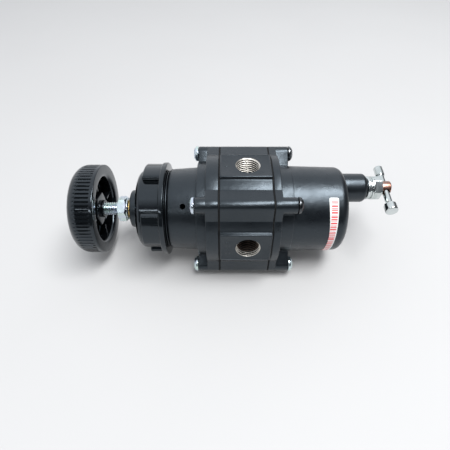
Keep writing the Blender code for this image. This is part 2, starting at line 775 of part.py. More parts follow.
def make_bowl():
    flange = flange_outline(FLANGE_RADIUS, wide_lug)
    bowl = add_part("bowl", flat_mesh([flange], BOWL_START, BOWL_FLANGE_END), CAST_BLACK)
    tubes = flange_outline(BOWL_RADIUS_LARGE, tube_lug)
    join(bowl, add_tool(flat_mesh([tubes], BOWL_START + 2, BOWL_TUBE_END)))
    corner = arc(
        (BOWL_RADIUS_SMALL - BOWL_CORNER, BOWL_END - BOWL_CORNER), BOWL_CORNER, 90, 0, 4
    )
    core = [
        (0, BOWL_END),
        *corner,
        (BOWL_RADIUS_LARGE - 0.1, BOWL_ROOT + 7),
        (BOWL_ROOT_RADIUS, BOWL_ROOT),
        (0, BOWL_ROOT),
    ]
    join(bowl, turned_tool(core, steps=40))
    boss_centre = (DRAIN_BOSS_RADIUS - DRAIN_BOSS_ROUNDING, DRAIN_BOSS_END - DRAIN_BOSS_ROUNDING)
    boss = [
        (0, DRAIN_BOSS_END),
        *arc(boss_centre, DRAIN_BOSS_ROUNDING, 90, 0, 3),
        (DRAIN_BOSS_RADIUS, BOWL_END - 2),
        (0, BOWL_END - 2),
    ]
    join(bowl, turned_tool(boss, steps=24, axis=DRAIN_AXIS))
    hollow = [
        (0, BOWL_FLOOR),
        (BOWL_FLOOR_RADIUS, BOWL_FLOOR),
        (BOWL_BORE, BOWL_FLOOR - 3.5),
        (BOWL_BORE, BOWL_START - 2),
        (0, BOWL_START - 2),
    ]
    cut(bowl, turned_tool(hollow, steps=24))
    bore = [
        (0, DRAIN_BOSS_END + 1),
        (DRAIN_BORE, DRAIN_BOSS_END + 1),
        (DRAIN_BORE, DRAIN_SEAT_STATION),
        (DRAIN_PASSAGE, DRAIN_SEAT_STATION - 1.5),
        (DRAIN_PASSAGE, BOWL_FLOOR - 2),
        (0, BOWL_FLOOR - 2),
    ]
    cut(bowl, turned_tool(bore, steps=12, axis=DRAIN_AXIS))
    drill_screw_holes(bowl, BOWL_START - 1, BOWL_TUBE_END + 1)


def make_bowl_gasket():
    flange = flange_outline(FLANGE_RADIUS, wide_lug)
    loops = [flange, circle(BOWL_BORE + 0.2, 24), *screw_holes()]
    low = BODY_END + GAP
    add_part("bowl_gasket", flat_mesh(loops, low, low + GASKET_THICKNESS), RUBBER)


def make_bowl_label():
    inner, outer = BOWL_RADIUS_SMALL + 0.5, BOWL_RADIUS_SMALL + 0.8
    parts = 18
    angles = [LABEL_FROM + (LABEL_TO - LABEL_FROM) * i / parts for i in range(parts + 1)]
    band = [polar(outer, a) for a in angles] + [polar(inner, a) for a in reversed(angles)]
    add_part("bowl_label", flat_mesh([band], LABEL_START, LABEL_END), LABEL_WHITE)


def make_screws():
    """Eight pan head screws, four from each end, which share one mesh."""
    head, rise = SCREW_HEAD_RADIUS, SCREW_HEAD_HEIGHT
    profile = [
        (0, rise),
        (head - 1.8, rise - 0.3),
        (head - 0.3, rise - 1.5),
        (head, 0),
        (SCREW_RADIUS, 0),
        (SCREW_RADIUS, -SCREW_LENGTH + 0.6),
        (SCREW_RADIUS - 0.6, -SCREW_LENGTH),
        (0, -SCREW_LENGTH),
    ]
    first = turned("bonnet_screw_1", profile, ZINC, steps=12)
    first.parent = None
    for turn_angle in (0, 90):
        slot = add_tool(box_mesh((-0.55, -2.7, rise - 1.5), (0.55, 2.7, rise + 1)))
        slot.parent = None
        slot.rotation_euler.z = radians(turn_angle)
        cut(first, slot)
    shared = freeze(first)
    bpy.data.objects.remove(first)
    rows = (
        ("bonnet_screw", BONNET_BAND - GAP, pi),
        ("bowl_screw", BOWL_TUBE_END + GAP, 0),
    )
    for row, station, flip in rows:
        for i, angle in enumerate(LUG_ANGLES, start=1):
            screw = add_part(f"{row}_{i}", shared, None)
            x, y = polar(BOLT_RADIUS, angle)
            screw.location = (x * MM, y * MM, station * MM)
            screw.rotation_euler = (0, flip, 0)


# ---------------------------------------------------------------- working parts

def make_spring_button():
    profile = [
        (0, BUTTON_TOP + BUTTON_THICKNESS + 2),
        (BUTTON_BOSS_RADIUS - 0.4, BUTTON_TOP + BUTTON_THICKNESS + 2),
        (BUTTON_BOSS_RADIUS, BUTTON_TOP + BUTTON_THICKNESS + 1.6),
        (BUTTON_BOSS_RADIUS, BUTTON_TOP + BUTTON_THICKNESS),
        (BUTTON_RADIUS, BUTTON_TOP + BUTTON_THICKNESS),
        (BUTTON_RADIUS, BUTTON_TOP + 0.6),
        (BUTTON_RADIUS - 0.6, BUTTON_TOP),
        (0, BUTTON_TOP),
    ]
    turned("spring_button", profile, ZINC, steps=24)


def make_range_spring():
    low, high = BUTTON_TOP + BUTTON_THICKNESS + GAP, PLATE_TOP - GAP
    coil("range_spring", SPRING_RADIUS, SPRING_WIRE, low, high, SPRING_TURNS, 11, STEEL)


def make_diaphragm_group():
    plate = [
        (PLATE_HOLE, -SEAM_HALF - GAP),
        (PLATE_RADIUS, -SEAM_HALF - GAP),
        (PLATE_RADIUS, PLATE_RIM_TOP),
        (PLATE_RADIUS - 1.2, PLATE_RIM_TOP),
        (PLATE_RADIUS - 1.2, PLATE_TOP),
        (PLATE_HOLE, PLATE_TOP),
    ]
    turned("diaphragm_plate", plate, ALUMINIUM, steps=24, closed=True)
    outline = flange_outline(FLANGE_RADIUS, wide_lug)
    loops = [outline, circle(PLATE_HOLE, 12), *screw_holes()]
    add_part("diaphragm", flat_mesh(loops, -SEAM_HALF, SEAM_HALF), RUBBER)
    seat = [
        (0, RELIEF_SEAT_END),
        (RELIEF_SEAT_RADIUS, RELIEF_SEAT_END),
        (RELIEF_SEAT_RADIUS, SEAM_HALF + GAP),
        (RELIEF_STEM_RADIUS, SEAM_HALF + GAP),
        (RELIEF_STEM_RADIUS, RELIEF_STEM_TOP),
        (0, RELIEF_STEM_TOP),
    ]
    turned("relief_seat", seat, BRASS, steps=24)
    nut = [hexagon(DIAPHRAGM_NUT_CORNER, VENT_ANGLE), circle(RELIEF_STEM_RADIUS + GAP, 12)]
    add_part("diaphragm_nut", flat_mesh(nut, DIAPHRAGM_NUT_TOP, PLATE_TOP - GAP), ZINC)


def make_valve():
    seat = [
        (SEAT_HOLE, SEAT_END),
        (SEAT_NECK_RADIUS, SEAT_END),
        (SEAT_NECK_RADIUS, VALVE_WEB - GAP),
        (SEAT_RADIUS, VALVE_WEB - GAP),
        (SEAT_RADIUS, SEAT_TOP),
        (SEAT_HOLE, SEAT_TOP),
    ]
    turned("valve_seat", seat, BRASS, steps=20, closed=True)
    plug = [
        (0, PLUG_TAIL_END),
        (PLUG_TAIL_RADIUS, PLUG_TAIL_END),
        (PLUG_TAIL_RADIUS, PLUG_BACK),
        (PLUG_RADIUS, PLUG_BACK),
        (PLUG_RADIUS, PLUG_FACE),
        (PLUG_PIN_RADIUS, PLUG_FACE),
        (PLUG_PIN_RADIUS, PLUG_PIN_TOP),
        (0, PLUG_PIN_TOP),
    ]
    turned("valve_plug", plug, RUBBER, steps=16)
    guide = [
        (0, GUIDE_BORE_END + 1.2),
        (GUIDE_TAIL_BORE, GUIDE_BORE_END + 1.2),
        (GUIDE_TAIL_BORE, GUIDE_TAIL_END),
        (GUIDE_TAIL_RADIUS, GUIDE_TAIL_END),
        (GUIDE_TAIL_RADIUS, GUIDE_BACK),
        (CHAMBER_RADIUS - 0.4, GUIDE_BACK),
        (CHAMBER_RADIUS - 0.4, GUIDE_FACE),
        (GUIDE_NOSE_RADIUS, GUIDE_FACE),
        (GUIDE_NOSE_RADIUS, GUIDE_NOSE),
        (GUIDE_BORE, GUIDE_NOSE),
        (GUIDE_BORE, GUIDE_BORE_END),
        (0, GUIDE_BORE_END),
    ]
    valve_guide = turned("valve_guide", guide, BRASS, steps=16)
    for angle in LUG_ANGLES:
        hole = add_tool(cylinder_mesh(GUIDE_HOLE_RADIUS, GUIDE_FACE - 1, GUIDE_BACK + 1, 6))
        x, y = polar(GUIDE_HOLE_CIRCLE, angle)
        hole.location = (x * MM, y * MM, 0)
        cut(valve_guide, hole)
    low, high = PLUG_BACK + GAP, GUIDE_FACE - GAP
    radius, wire = VALVE_SPRING_RADIUS, VALVE_SPRING_WIRE
    coil("valve_spring", radius, wire, low, high, VALVE_SPRING_TURNS, 9, STEEL)


def make_filter():
    umbrella = [
        (BOLT_HOLE, BAFFLE_TOP + BAFFLE_THICKNESS),
        (BAFFLE_FLAT_RADIUS, BAFFLE_TOP + BAFFLE_THICKNESS),
        (BAFFLE_RADIUS, BAFFLE_SKIRT_END),
        (BAFFLE_RADIUS, BAFFLE_SKIRT_END - BAFFLE_THICKNESS - 0.2),
        (BAFFLE_FLAT_RADIUS + 0.3, BAFFLE_TOP),
        (BOLT_HOLE, BAFFLE_TOP),
    ]
    turned("baffle", umbrella, GLOSS_BLACK, steps=24, closed=True)
    rings = [circle(ELEMENT_RADIUS, 24), circle(ELEMENT_RADIUS - ELEMENT_WALL, 24)]
    add_part("filter_element", flat_mesh(rings, ELEMENT_START, ELEMENT_END), SINTERED)
    low = ELEMENT_END + GAP
    rings = [circle(ELEMENT_RADIUS + 0.5, 24), circle(BOLT_HOLE, 12)]
    add_part("filter_cap", flat_mesh(rings, low, low + CAP_THICKNESS), ALUMINIUM)
    under_head = low + CAP_THICKNESS + GAP
    bolt = [
        (0, under_head + FILTER_BOLT_HEAD_HEIGHT),
        (FILTER_BOLT_HEAD_RADIUS - 0.8, under_head + FILTER_BOLT_HEAD_HEIGHT),
        (FILTER_BOLT_HEAD_RADIUS, under_head + FILTER_BOLT_HEAD_HEIGHT - 0.6),
        (FILTER_BOLT_HEAD_RADIUS, under_head),
        (FILTER_BOLT_RADIUS, under_head),
        (FILTER_BOLT_RADIUS, FILTER_BOLT_START),
        (0, FILTER_BOLT_START),
    ]
    turned("filter_bolt", bolt, ZINC, steps=16)


# ---------------------------------------------------------------- drain cock

def make_drain_body():
    collar = [
        (0, DRAIN_COLLAR_END + 0.4),
        (DRAIN_COLLAR_RADIUS - 0.8, DRAIN_COLLAR_END + 0.4),
        (DRAIN_COLLAR_RADIUS, DRAIN_COLLAR_END - 0.4),
        (DRAIN_COLLAR_RADIUS, DRAIN_BOSS_END + GAP + 1),
        (DRAIN_COLLAR_RADIUS - 0.8, DRAIN_BOSS_END + GAP),
        (DRAIN_PLUG_RADIUS, DRAIN_BOSS_END + GAP),
        (DRAIN_PLUG_RADIUS, DRAIN_PLUG_END + 0.6),
        (DRAIN_PLUG_RADIUS - 0.6, DRAIN_PLUG_END),
        (0, DRAIN_PLUG_END),
    ]
    body = turned("drain_body", collar, CHROME, steps=24, axis=DRAIN_AXIS)
    flats = hexagon(DRAIN_HEX_CORNER, VENT_ANGLE)
    join(body, add_tool(flat_mesh([flats], DRAIN_COLLAR_END - 1, DRAIN_HEX_END), DRAIN_AXIS))
    bore = [
        (0, DRAIN_HEX_END + 1),
        (DRAIN_STEM_BORE, DRAIN_HEX_END + 1),
        (DRAIN_STEM_BORE, DRAIN_NEEDLE_TIP + 1.3),
        (DRAIN_OUTLET_RADIUS, DRAIN_NEEDLE_TIP),
        (DRAIN_OUTLET_RADIUS, DRAIN_PLUG_END - 1),
        (0, DRAIN_PLUG_END - 1),
    ]
    cut(body, turned_tool(bore, steps=16, axis=DRAIN_AXIS))


def make_drain_stem():
    needle = [
        (0, DRAIN_NEEDLE_END),
        (DRAIN_NEEDLE_RADIUS, DRAIN_NEEDLE_END),
        (DRAIN_NEEDLE_RADIUS, DRAIN_NEEDLE_TIP + 1.3),
        (DRAIN_NEEDLE_RADIUS - 1.3, DRAIN_NEEDLE_TIP),
        (0, DRAIN_NEEDLE_TIP),
    ]
    turned("drain_needle", needle, RUBBER, steps=16, axis=DRAIN_AXIS)
    hub = DRAIN_HUB_RADIUS
    low = DRAIN_HEX_END + GAP
    stem = [
        (0, DRAIN_HUB_END),
        (hub - 0.5, DRAIN_HUB_END),
        (hub, DRAIN_HUB_END - 0.5),
        (hub, low + 0.4),
        (hub - 0.4, low),
        (DRAIN_STEM_RADIUS, low),
        (DRAIN_STEM_RADIUS, DRAIN_NEEDLE_END + GAP),
        (0, DRAIN_NEEDLE_END + GAP),
    ]
    drain_stem = turned("drain_stem", stem, BRONZE, steps=24, axis=DRAIN_AXIS)
    cross_hole = add_tool(cylinder_mesh(DRAIN_BAR_RADIUS + GAP, -8, 8, 16), DRAIN_AXIS)
    cut(drain_stem, point_outward(cross_hole, DRAIN_BAR_ANGLE, DRAIN_BAR_STATION))


def make_drain_bar():
    thin, thick, tail = DRAIN_BAR_RADIUS, DRAIN_BAR_END_RADIUS, DRAIN_BAR_TAIL_RADIUS
    top = DRAIN_BAR_SHIFT + DRAIN_BAR_HALF
    bottom = DRAIN_BAR_SHIFT - DRAIN_BAR_HALF
    profile = [
        (0, top),
        (thick - 0.8, top),
        (thick, top - 0.8),
        (thick, top - 4.6),
        (thick - 0.7, top - 5.4),
        (thin, top - 6.4),
        (thin, bottom + 8.0),
        (tail, bottom + 7.2),
        (tail, bottom + 0.7),
        (tail - 0.7, bottom),
        (0, bottom),
    ]
    bar = turned("drain_bar", profile, CHROME, steps=16, axis=DRAIN_AXIS)
    point_outward(bar, DRAIN_BAR_ANGLE, DRAIN_BAR_STATION)


# ---------------------------------------------------------------- assembly

clear_scene()
PARTS = new_collection("air_pressure_regulator")
TOOLS = new_collection("cutters")

CAST_BLACK = make_material("cast_black", (0.020, 0.022, 0.025), 0.50, 0.0)
GLOSS_BLACK = make_material("gloss_black", (0.012, 0.012, 0.013), 0.22, 0.0)
RUBBER = make_material("rubber", (0.015, 0.015, 0.015), 0.80, 0.0)
ZINC = make_material("zinc", (0.72, 0.75, 0.78), 0.30, 1.0)
STEEL = make_material("steel", (0.50, 0.50, 0.52), 0.35, 1.0)
ALUMINIUM = make_material("aluminium", (0.70, 0.70, 0.72), 0.40, 1.0)
BRASS = make_material("brass", (0.80, 0.62, 0.28), 0.30, 1.0)
BRONZE = make_material("bronze", (0.42, 0.25, 0.18), 0.35, 1.0)
CHROME = make_material("chrome", (0.80, 0.80, 0.80), 0.12, 1.0)
SINTERED = make_material("sintered", (0.55, 0.42, 0.24), 0.85, 0.6)
LABEL_WHITE = make_material("label_white", (0.85, 0.85, 0.84), 0.45, 0.0)

MAIN_AXIS = add_axis("main_axis", None, (SEAM_X, 0, PAD_DISTANCE), (0, pi / 2, 0))
DRAIN_AXIS = add_axis("drain_axis", MAIN_AXIS, (*polar(DRAIN_OFFSET, DRAIN_ANGLE), 0))

make_knob()
make_knob_screw()
make_adjusting_screw()
make_lock_nut()
make_lock_washer()
make_stem_bushing()
make_ring_nut()
make_panel_washer()
make_bonnet()
make_body()
make_bowl()
make_bowl_gasket()
make_bowl_label()
make_screws()
make_spring_button()
make_range_spring()
make_diaphragm_group()
make_valve()
make_filter()
make_drain_body()
make_drain_stem()
make_drain_bar()
shade_parts()
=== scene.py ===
"""Looks of the air pressure regulator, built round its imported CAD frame.

Lengths are millimetres along and round the object's axis, as in the CAD: a station runs along
world +X from the diaphragm seam, and an angle runs from world +Y towards world +Z. A profile is a
line of (radius, station) points, where a point's own third number is the radius of its rounding.
"""

import json
from math import acos, asin, atan2, cos, degrees, pi, radians, sin, sqrt, tan, tau

import bmesh
import bpy
import numpy as np
from mathutils import Matrix, Vector

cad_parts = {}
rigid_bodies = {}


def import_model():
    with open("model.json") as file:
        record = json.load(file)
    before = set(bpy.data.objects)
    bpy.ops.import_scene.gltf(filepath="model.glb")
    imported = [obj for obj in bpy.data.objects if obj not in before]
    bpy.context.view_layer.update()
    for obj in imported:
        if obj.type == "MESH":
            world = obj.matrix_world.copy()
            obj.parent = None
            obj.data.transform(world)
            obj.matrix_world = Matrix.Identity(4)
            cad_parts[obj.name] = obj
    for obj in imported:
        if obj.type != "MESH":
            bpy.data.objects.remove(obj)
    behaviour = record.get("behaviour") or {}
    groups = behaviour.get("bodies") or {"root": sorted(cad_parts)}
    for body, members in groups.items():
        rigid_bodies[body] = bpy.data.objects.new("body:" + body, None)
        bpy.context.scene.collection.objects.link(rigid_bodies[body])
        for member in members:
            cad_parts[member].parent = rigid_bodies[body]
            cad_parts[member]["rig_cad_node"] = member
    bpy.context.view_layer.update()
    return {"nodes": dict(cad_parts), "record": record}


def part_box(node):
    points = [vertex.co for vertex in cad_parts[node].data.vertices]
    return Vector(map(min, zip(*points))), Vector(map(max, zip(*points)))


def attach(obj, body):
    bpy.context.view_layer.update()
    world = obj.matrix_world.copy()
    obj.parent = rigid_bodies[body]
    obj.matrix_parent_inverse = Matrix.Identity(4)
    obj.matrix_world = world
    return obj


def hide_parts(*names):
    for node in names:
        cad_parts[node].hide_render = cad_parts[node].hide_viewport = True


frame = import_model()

MM = 0.001
SEAM_X = round(sum(corner[0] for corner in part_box("diaphragm")) / 2 / MM, 3)
AXIS_Z = 34.3
AWAY, UP, NEAR, DOWN = 0.0, 90.0, 180.0, 270.0
PAD_ANGLES = (AWAY, UP, NEAR, DOWN)
LUG_ANGLES = (45.0, 135.0, 225.0, 315.0)
CAMERA_SIDE = 135.0

KNOB_RADIUS = 28.0
KNOB_MOUTH = -72.7
KNOB_FACE = -89.7
KNOB_ROUNDING = 8.0
KNOB_CUP_RADIUS = 20.0
KNOB_CUP_FLOOR = -82.8
KNOB_LIP = 2.6
KNOB_RIBS = 72
KNOB_HUB_RADIUS = 5.6
KNOB_HUB_END = -73.5
KNOB_SOCKET_RADIUS = 4.3
KNOB_SOCKET_FLOOR = -83.0
SPOKE_COUNT = 4
SPOKE_HALF_WIDTH = 0.9

STEM_RADIUS = 4.0
STEM_PITCH = 1.25
LOCK_NUT_CORNER = 8.25
LOCK_NUT_CHAMFER_RADIUS = 8.6
LOCK_NUT_START = -64.4
LOCK_NUT_END = -59.2
NUT_BORE_RADIUS = 4.3

RING_BACK = -31.9
RING_FLANGE_START = -35.1
RING_FLANGE_RADIUS = 29.4
RING_LOBE_START = -45.5
RING_LOBE_CREST = 28.6
RING_LOBE_VALLEY = 24.3
RING_LOBE_ANGLES = (76.0, 166.0, 256.0, 346.0)
RING_DOME_FOOT = -46.0
RING_BORE_RADIUS = 16.0

BOLT_RADIUS = 35.3
LUG_TUBE_RADIUS = 4.6
FLANGE_RADIUS = 34.2
SCREW_DRILL_RADIUS = 2.8
BONNET_RADIUS = 26.4
BONNET_SHOULDER = -30.7
NECK_RADIUS = 15.6
NECK_PITCH = 1.5
NECK_END = -51.5
NOSE_RADIUS = 11.9
NOSE_END = -55.7
VENT_STATION = -21.2

BODY_START = 0.32
BODY_END = 30.28
PAD_DISTANCE = 34.3
PAD_HALF_WIDTH = 11.0
PORT_STATION = 16.7
PORT_MOUTH_RADIUS = 7.4
PORT_MOUTH_DISTANCE = 34.3
PORT_THREAD_RADIUS = 7.05
PORT_THREAD_DEPTH = 0.8
PORT_THREAD_FLOOR = 21.6
PORT_PITCH = 1.41
PORT_TAPER = 1 / 32

BOWL_RADIUS = 26.4
BOWL_END = 75.9
BOWL_ROUNDING = 4.8
BOWL_DRAFT = 0.027
LABEL_LOW = 63.3
LABEL_HIGH = 68.8
LABEL_MARKS_STATION = 66.4
LABEL_FIRST = 124.0
LABEL_LAST = 225.0

DRAIN_CENTRE = (13.4 * cos(radians(45)), 13.4 * sin(radians(45)))
BAR_STATION = 106.0
BAR_ANGLE = 189.0


# ---------------------------------------------------------------- points and outlines

def polar(radius, angle):
    """The (y, z) point at a radius and an angle in degrees round the axis."""
    return (radius * cos(radians(angle)), radius * sin(radians(angle)))


def placed(points, angle):
    """(outward, sideways) points turned to an angle round the axis."""
    c, s = cos(radians(angle)), sin(radians(angle))
    return [(a * c - b * s, a * s + b * c) for a, b in points]


def arc(centre, radius, start, end, parts):
    steps = [polar(radius, start + (end - start) * i / parts) for i in range(parts + 1)]
    return [(centre[0] + a, centre[1] + b) for a, b in steps]


def between(radius, start, end, parts):
    """Points on a circle round the axis, without the two ends of the stretch."""
    return [polar(radius, start + (end - start) * i / parts) for i in range(1, parts)]


def rounded(points, radius, closed=False, parts=4):
    """The line with an arc at each corner; a point's own third number is its radius."""
    count = len(points)
    line = []
    for i, point in enumerate(points):
        here = np.array(point[:2], float)
        own = point[2] if len(point) > 2 else radius
        if not closed and i in (0, count - 1):
            line.append(tuple(here))
            continue
        back = np.array(points[i - 1][:2], float) - here
        on = np.array(points[(i + 1) % count][:2], float) - here
        back_length, on_length = np.linalg.norm(back), np.linalg.norm(on)
        back /= back_length
        on /= on_length
        opening = acos(float(np.clip(back @ on, -1, 1)))
        if own <= 0 or opening > radians(170):
            line.append(tuple(here))
            continue
        setback = min(own / tan(opening / 2), 0.45 * back_length, 0.45 * on_length)
        real = setback * tan(opening / 2)
        centre = here + (back + on) / np.linalg.norm(back + on) * real / sin(opening / 2)
        first, last = here + back * setback - centre, here + on * setback - centre
        start = atan2(first[1], first[0])
        sweep = (atan2(last[1], last[0]) - start + pi) % tau - pi
        for k in range(parts + 1):
            angle = start + sweep * k / parts
            line.append((centre[0] + real * cos(angle), centre[1] + real * sin(angle)))
    return line


def soften(loop, radius, least=14.0):
    """Rounds only the corners of an outline that turn by more than some degrees."""
    marked = []
    for i, here in enumerate(loop):
        before, after = loop[i - 1], loop[(i + 1) % len(loop)]
        a = atan2(here[1] - before[1], here[0] - before[0])
        b = atan2(after[1] - here[1], after[0] - here[0])
        turn = abs((b - a + pi) % tau - pi)
        marked.append((*here, radius if turn > radians(least) else 0))
    return rounded(marked, 0, closed=True, parts=4)


def rectangle(low_a, high_a, low_b, high_b, soft):
    corners = [(low_a, low_b), (high_a, low_b), (high_a, high_b), (low_a, high_b)]
    return rounded(corners, soft, closed=True)


def hexagon(corner, flat_angle, soft=0.35):
    corners = [polar(corner, flat_angle + 30 + 60 * i) for i in range(6)]
    return rounded(corners, soft, closed=True)


def wide_lug(radius):
    """A screw lug whose flanks slope down to a round flange."""
    reach = BOLT_RADIUS * cos(radians(45)) + LUG_TUBE_RADIUS
    half = 45 - degrees(acos(reach / radius))
    crest = arc((BOLT_RADIUS, 0.0), LUG_TUBE_RADIUS, -45, 45, 14)
    foot = (radius * cos(radians(half)), radius * sin(radians(half)))
    return half, [(foot[0], -foot[1]), *crest, foot]


def tube_lug(radius):
    """A screw tube that stands on a round band with straight sides."""
    half = degrees(asin(LUG_TUBE_RADIUS / radius))
    foot = sqrt(radius**2 - LUG_TUBE_RADIUS**2)
    crest = arc((BOLT_RADIUS, 0.0), LUG_TUBE_RADIUS, -90, 90, 20)
    return half, [(foot, -LUG_TUBE_RADIUS), *crest, (foot, LUG_TUBE_RADIUS)]


def flange_outline(radius, lug, blend=1.2):
    """A round outline with a lug at each of the four screws."""
    half, points = lug(radius)
    loop = []
    for angle in LUG_ANGLES:
        loop += placed(points, angle)
        loop += between(radius, angle + half, angle + 90 - half, 26)
    return soften(loop, blend)


def body_outline():
    """The flange's outline with a flat port pad between each two lugs."""
    half, lug = wide_lug(FLANGE_RADIUS)
    edge = sqrt(FLANGE_RADIUS**2 - PAD_HALF_WIDTH**2)
    reach = degrees(asin(PAD_HALF_WIDTH / FLANGE_RADIUS))
    pad = [(edge, -PAD_HALF_WIDTH), (PAD_DISTANCE, -PAD_HALF_WIDTH)]
    pad += [(a, -b) for a, b in pad[::-1]]
    loop = []
    for angle in LUG_ANGLES:
        loop += placed(lug, angle)
        loop += between(FLANGE_RADIUS, angle + half, angle + 45 - reach, 5)
        loop += placed(pad, angle + 45)
        loop += between(FLANGE_RADIUS, angle + 45 + reach, angle + 90 - half, 5)
    return soften(loop, 1.1)


def ring_lobes():
    """The grip's outline: four lobes with steep flanks and rounded corners."""
    soft, half = 2.0, 22.3
    shoulder = RING_LOBE_CREST - soft
    turn = half - degrees(asin(soft / shoulder))
    lobe = [polar(RING_LOBE_VALLEY, -half), *arc(polar(shoulder, -turn), soft, -half - 90, -turn, 7)]
    lobe += between(RING_LOBE_CREST, -turn, turn, 14)
    lobe += [*arc(polar(shoulder, turn), soft, turn, half + 90, 7), polar(RING_LOBE_VALLEY, half)]
    outline = []
    for angle in RING_LOBE_ANGLES:
        outline += placed(lobe, angle)
        outline += between(RING_LOBE_VALLEY, angle + half, angle + 90 - half, 8)
    return outline


# ---------------------------------------------------------------- meshes

def built(points, faces):
    """A closed mesh from points that count from the seam and the object's axis."""
    world = (np.array(points, float) + (SEAM_X, 0.0, AXIS_Z)) * MM
    mesh = bpy.data.meshes.new("skin")
    mesh.from_pydata(world.tolist(), [], faces)
    shape = bmesh.new()
    shape.from_mesh(mesh)
    bmesh.ops.remove_doubles(shape, verts=shape.verts, dist=2e-7)
    bmesh.ops.recalc_face_normals(shape, faces=shape.faces)
    shape.to_mesh(mesh)
    shape.free()
    return mesh


def skin(rings, loop=False):
    """A closed mesh through rings of local points, one after another."""
    count, total = len(rings[0]), len(rings)
    faces = []
    for i in range(total if loop else total - 1):
        a, b = i * count, (i + 1) % total * count
        faces += [(a + j, a + (j + 1) % count, b + (j + 1) % count, b + j) for j in range(count)]
    if not loop:
        faces += [tuple(range(count))[::-1], tuple(range((total - 1) * count, total * count))]
    return built(np.concatenate(rings), faces)


def lathe(profile, steps=96, loop=False, centre=(0.0, 0.0), wave=None):
    """A turned shape; wave changes a profile point's radii round the axis."""
    angles = np.arange(steps) * tau / steps
    rings = []
    for radius, station in profile:
        radii = wave(radius, station, angles) if wave else np.full(steps, radius)
        y, z = centre[0] + radii * np.cos(angles), centre[1] + radii * np.sin(angles)
        rings.append(np.column_stack([np.full(steps, station), y, z]))
    return skin(rings, loop)


def rod(radius, low, high, steps, centre=(0.0, 0.0)):
    return lathe([(0, low), (radius, low), (radius, high), (0, high)], steps, centre=centre)


def washer(inner, outer, low, high, soft, steps):
    """A flat ring; soft is the rounding of its four rims."""
    return lathe(rectangle(inner, outer, low, high, soft), steps, True)


def shrunk(outline, inset):
    """The (y, z) outline moved inward; it runs anticlockwise."""
    points = np.array(outline, float)
    ahead = np.roll(points, -1, axis=0) - points
    ahead /= np.maximum(np.linalg.norm(ahead, axis=1), 1e-9)[:, None]
    normal = np.column_stack([ahead[:, 1], -ahead[:, 0]])
    before = np.roll(normal, 1, axis=0)
    mixed = (normal + before) / (1 + np.sum(normal * before, axis=1))[:, None].clip(0.3)
    return points - inset * mixed


def plate(outline, low, high, edge=0.4, parts=3):
    """A flat outline as thick as the stretch from low to high, with rounded rims."""
    rims = [(edge * (1 - sin(t)), edge * (1 - cos(t))) for t in np.linspace(0, pi / 2, parts + 1)]
    rows = [(inset, low + rise) for inset, rise in rims]
    rows += [(inset, high - rise) for inset, rise in rims[::-1]]
    rings = []
    for inset, station in rows:
        loop = shrunk(outline, inset)
        rings.append(np.column_stack([np.full(len(loop), station), loop]))
    return skin(rings)


def threaded(radius, depth, low, high, pitch, steps, lean=0.0):
    """A screw thread with chamfered ends. lean is how much its radius grows per millimetre."""
    rings_per_pitch = 20
    count = round((high - low) / pitch * rings_per_pitch)
    angles = np.arange(steps) * tau / steps
    rings = [np.zeros((steps, 3)) + (low, 0.0, 0.0)]
    for station in np.linspace(low, high, count + 1):
        phase = (station / pitch - angles / tau) % 1.0
        crest = np.clip(1.45 * (1 - np.abs(2 * phase - 1)) - 0.15, 0, 1)
        near_end = min(station - low, high - station)
        root = radius - depth + lean * (station - low)
        radii = np.minimum(root + depth * crest, root + near_end * 0.9)
        y, z = radii * np.cos(angles), radii * np.sin(angles)
        rings.append(np.column_stack([np.full(steps, station), y, z]))
    rings.append(np.zeros((steps, 3)) + (high, 0.0, 0.0))
    return skin(rings)


def moved(mesh, matrix):
    """The mesh turned or moved about the object's axis, in local millimetres."""
    home = Matrix.Translation(Vector((SEAM_X, 0, AXIS_Z)) * MM)
    mesh.transform(home @ matrix @ home.inverted())
    return mesh


def pointing(mesh, angle, station, centre=(0.0, 0.0)):
    """Turns a shape's own axis from +X to an angle round the axis, at a station."""
    turn = Matrix.Rotation(radians(angle), 4, "X") @ Matrix.Rotation(pi / 2, 4, "Z")
    place = Matrix.Translation(Vector((station, *centre)) * MM)
    return moved(mesh, place @ turn)


def spun(mesh, angle):
    return moved(mesh, Matrix.Rotation(radians(angle), 4, "X"))


def evaluated(obj):
    bpy.context.view_layer.update()
    graph = bpy.context.evaluated_depsgraph_get()
    return bpy.data.meshes.new_from_object(obj.evaluated_get(graph))


def merged(mesh, tools, operation="UNION"):
    """The mesh with tools joined to it, cut from it or kept in common with it, in turn."""
    collection = bpy.context.scene.collection
    for tool in tools:
        holder = bpy.data.objects.new("holder", mesh)
        cutter = bpy.data.objects.new("cutter", tool)
        collection.objects.link(holder)
        collection.objects.link(cutter)
        modifier = holder.modifiers.new("boolean", "BOOLEAN")
        modifier.operation = operation
        modifier.object = cutter
        modifier.solver = "MANIFOLD"
        mesh = evaluated(holder)
        bpy.data.objects.remove(holder)
        bpy.data.objects.remove(cutter)
    return mesh


def cut(mesh, tools):
    return merged(mesh, tools, "DIFFERENCE")


def piece(name, mesh, look, body, nodes, sharp=32):
    """A finished piece that rides on a CAD body and stands for its CAD nodes."""
    looks = [look] if isinstance(look, str) else look
    obj = bpy.data.objects.new(name, mesh)
    bpy.context.scene.collection.objects.link(obj)
    mesh.materials.clear()
    for material in looks:
        mesh.materials.append(LOOKS[material])
    mesh.shade_smooth()
    mesh.set_sharp_from_angle(angle=radians(sharp))
    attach(obj, body)
    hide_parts(*nodes)
    return obj


# ---------------------------------------------------------------- materials

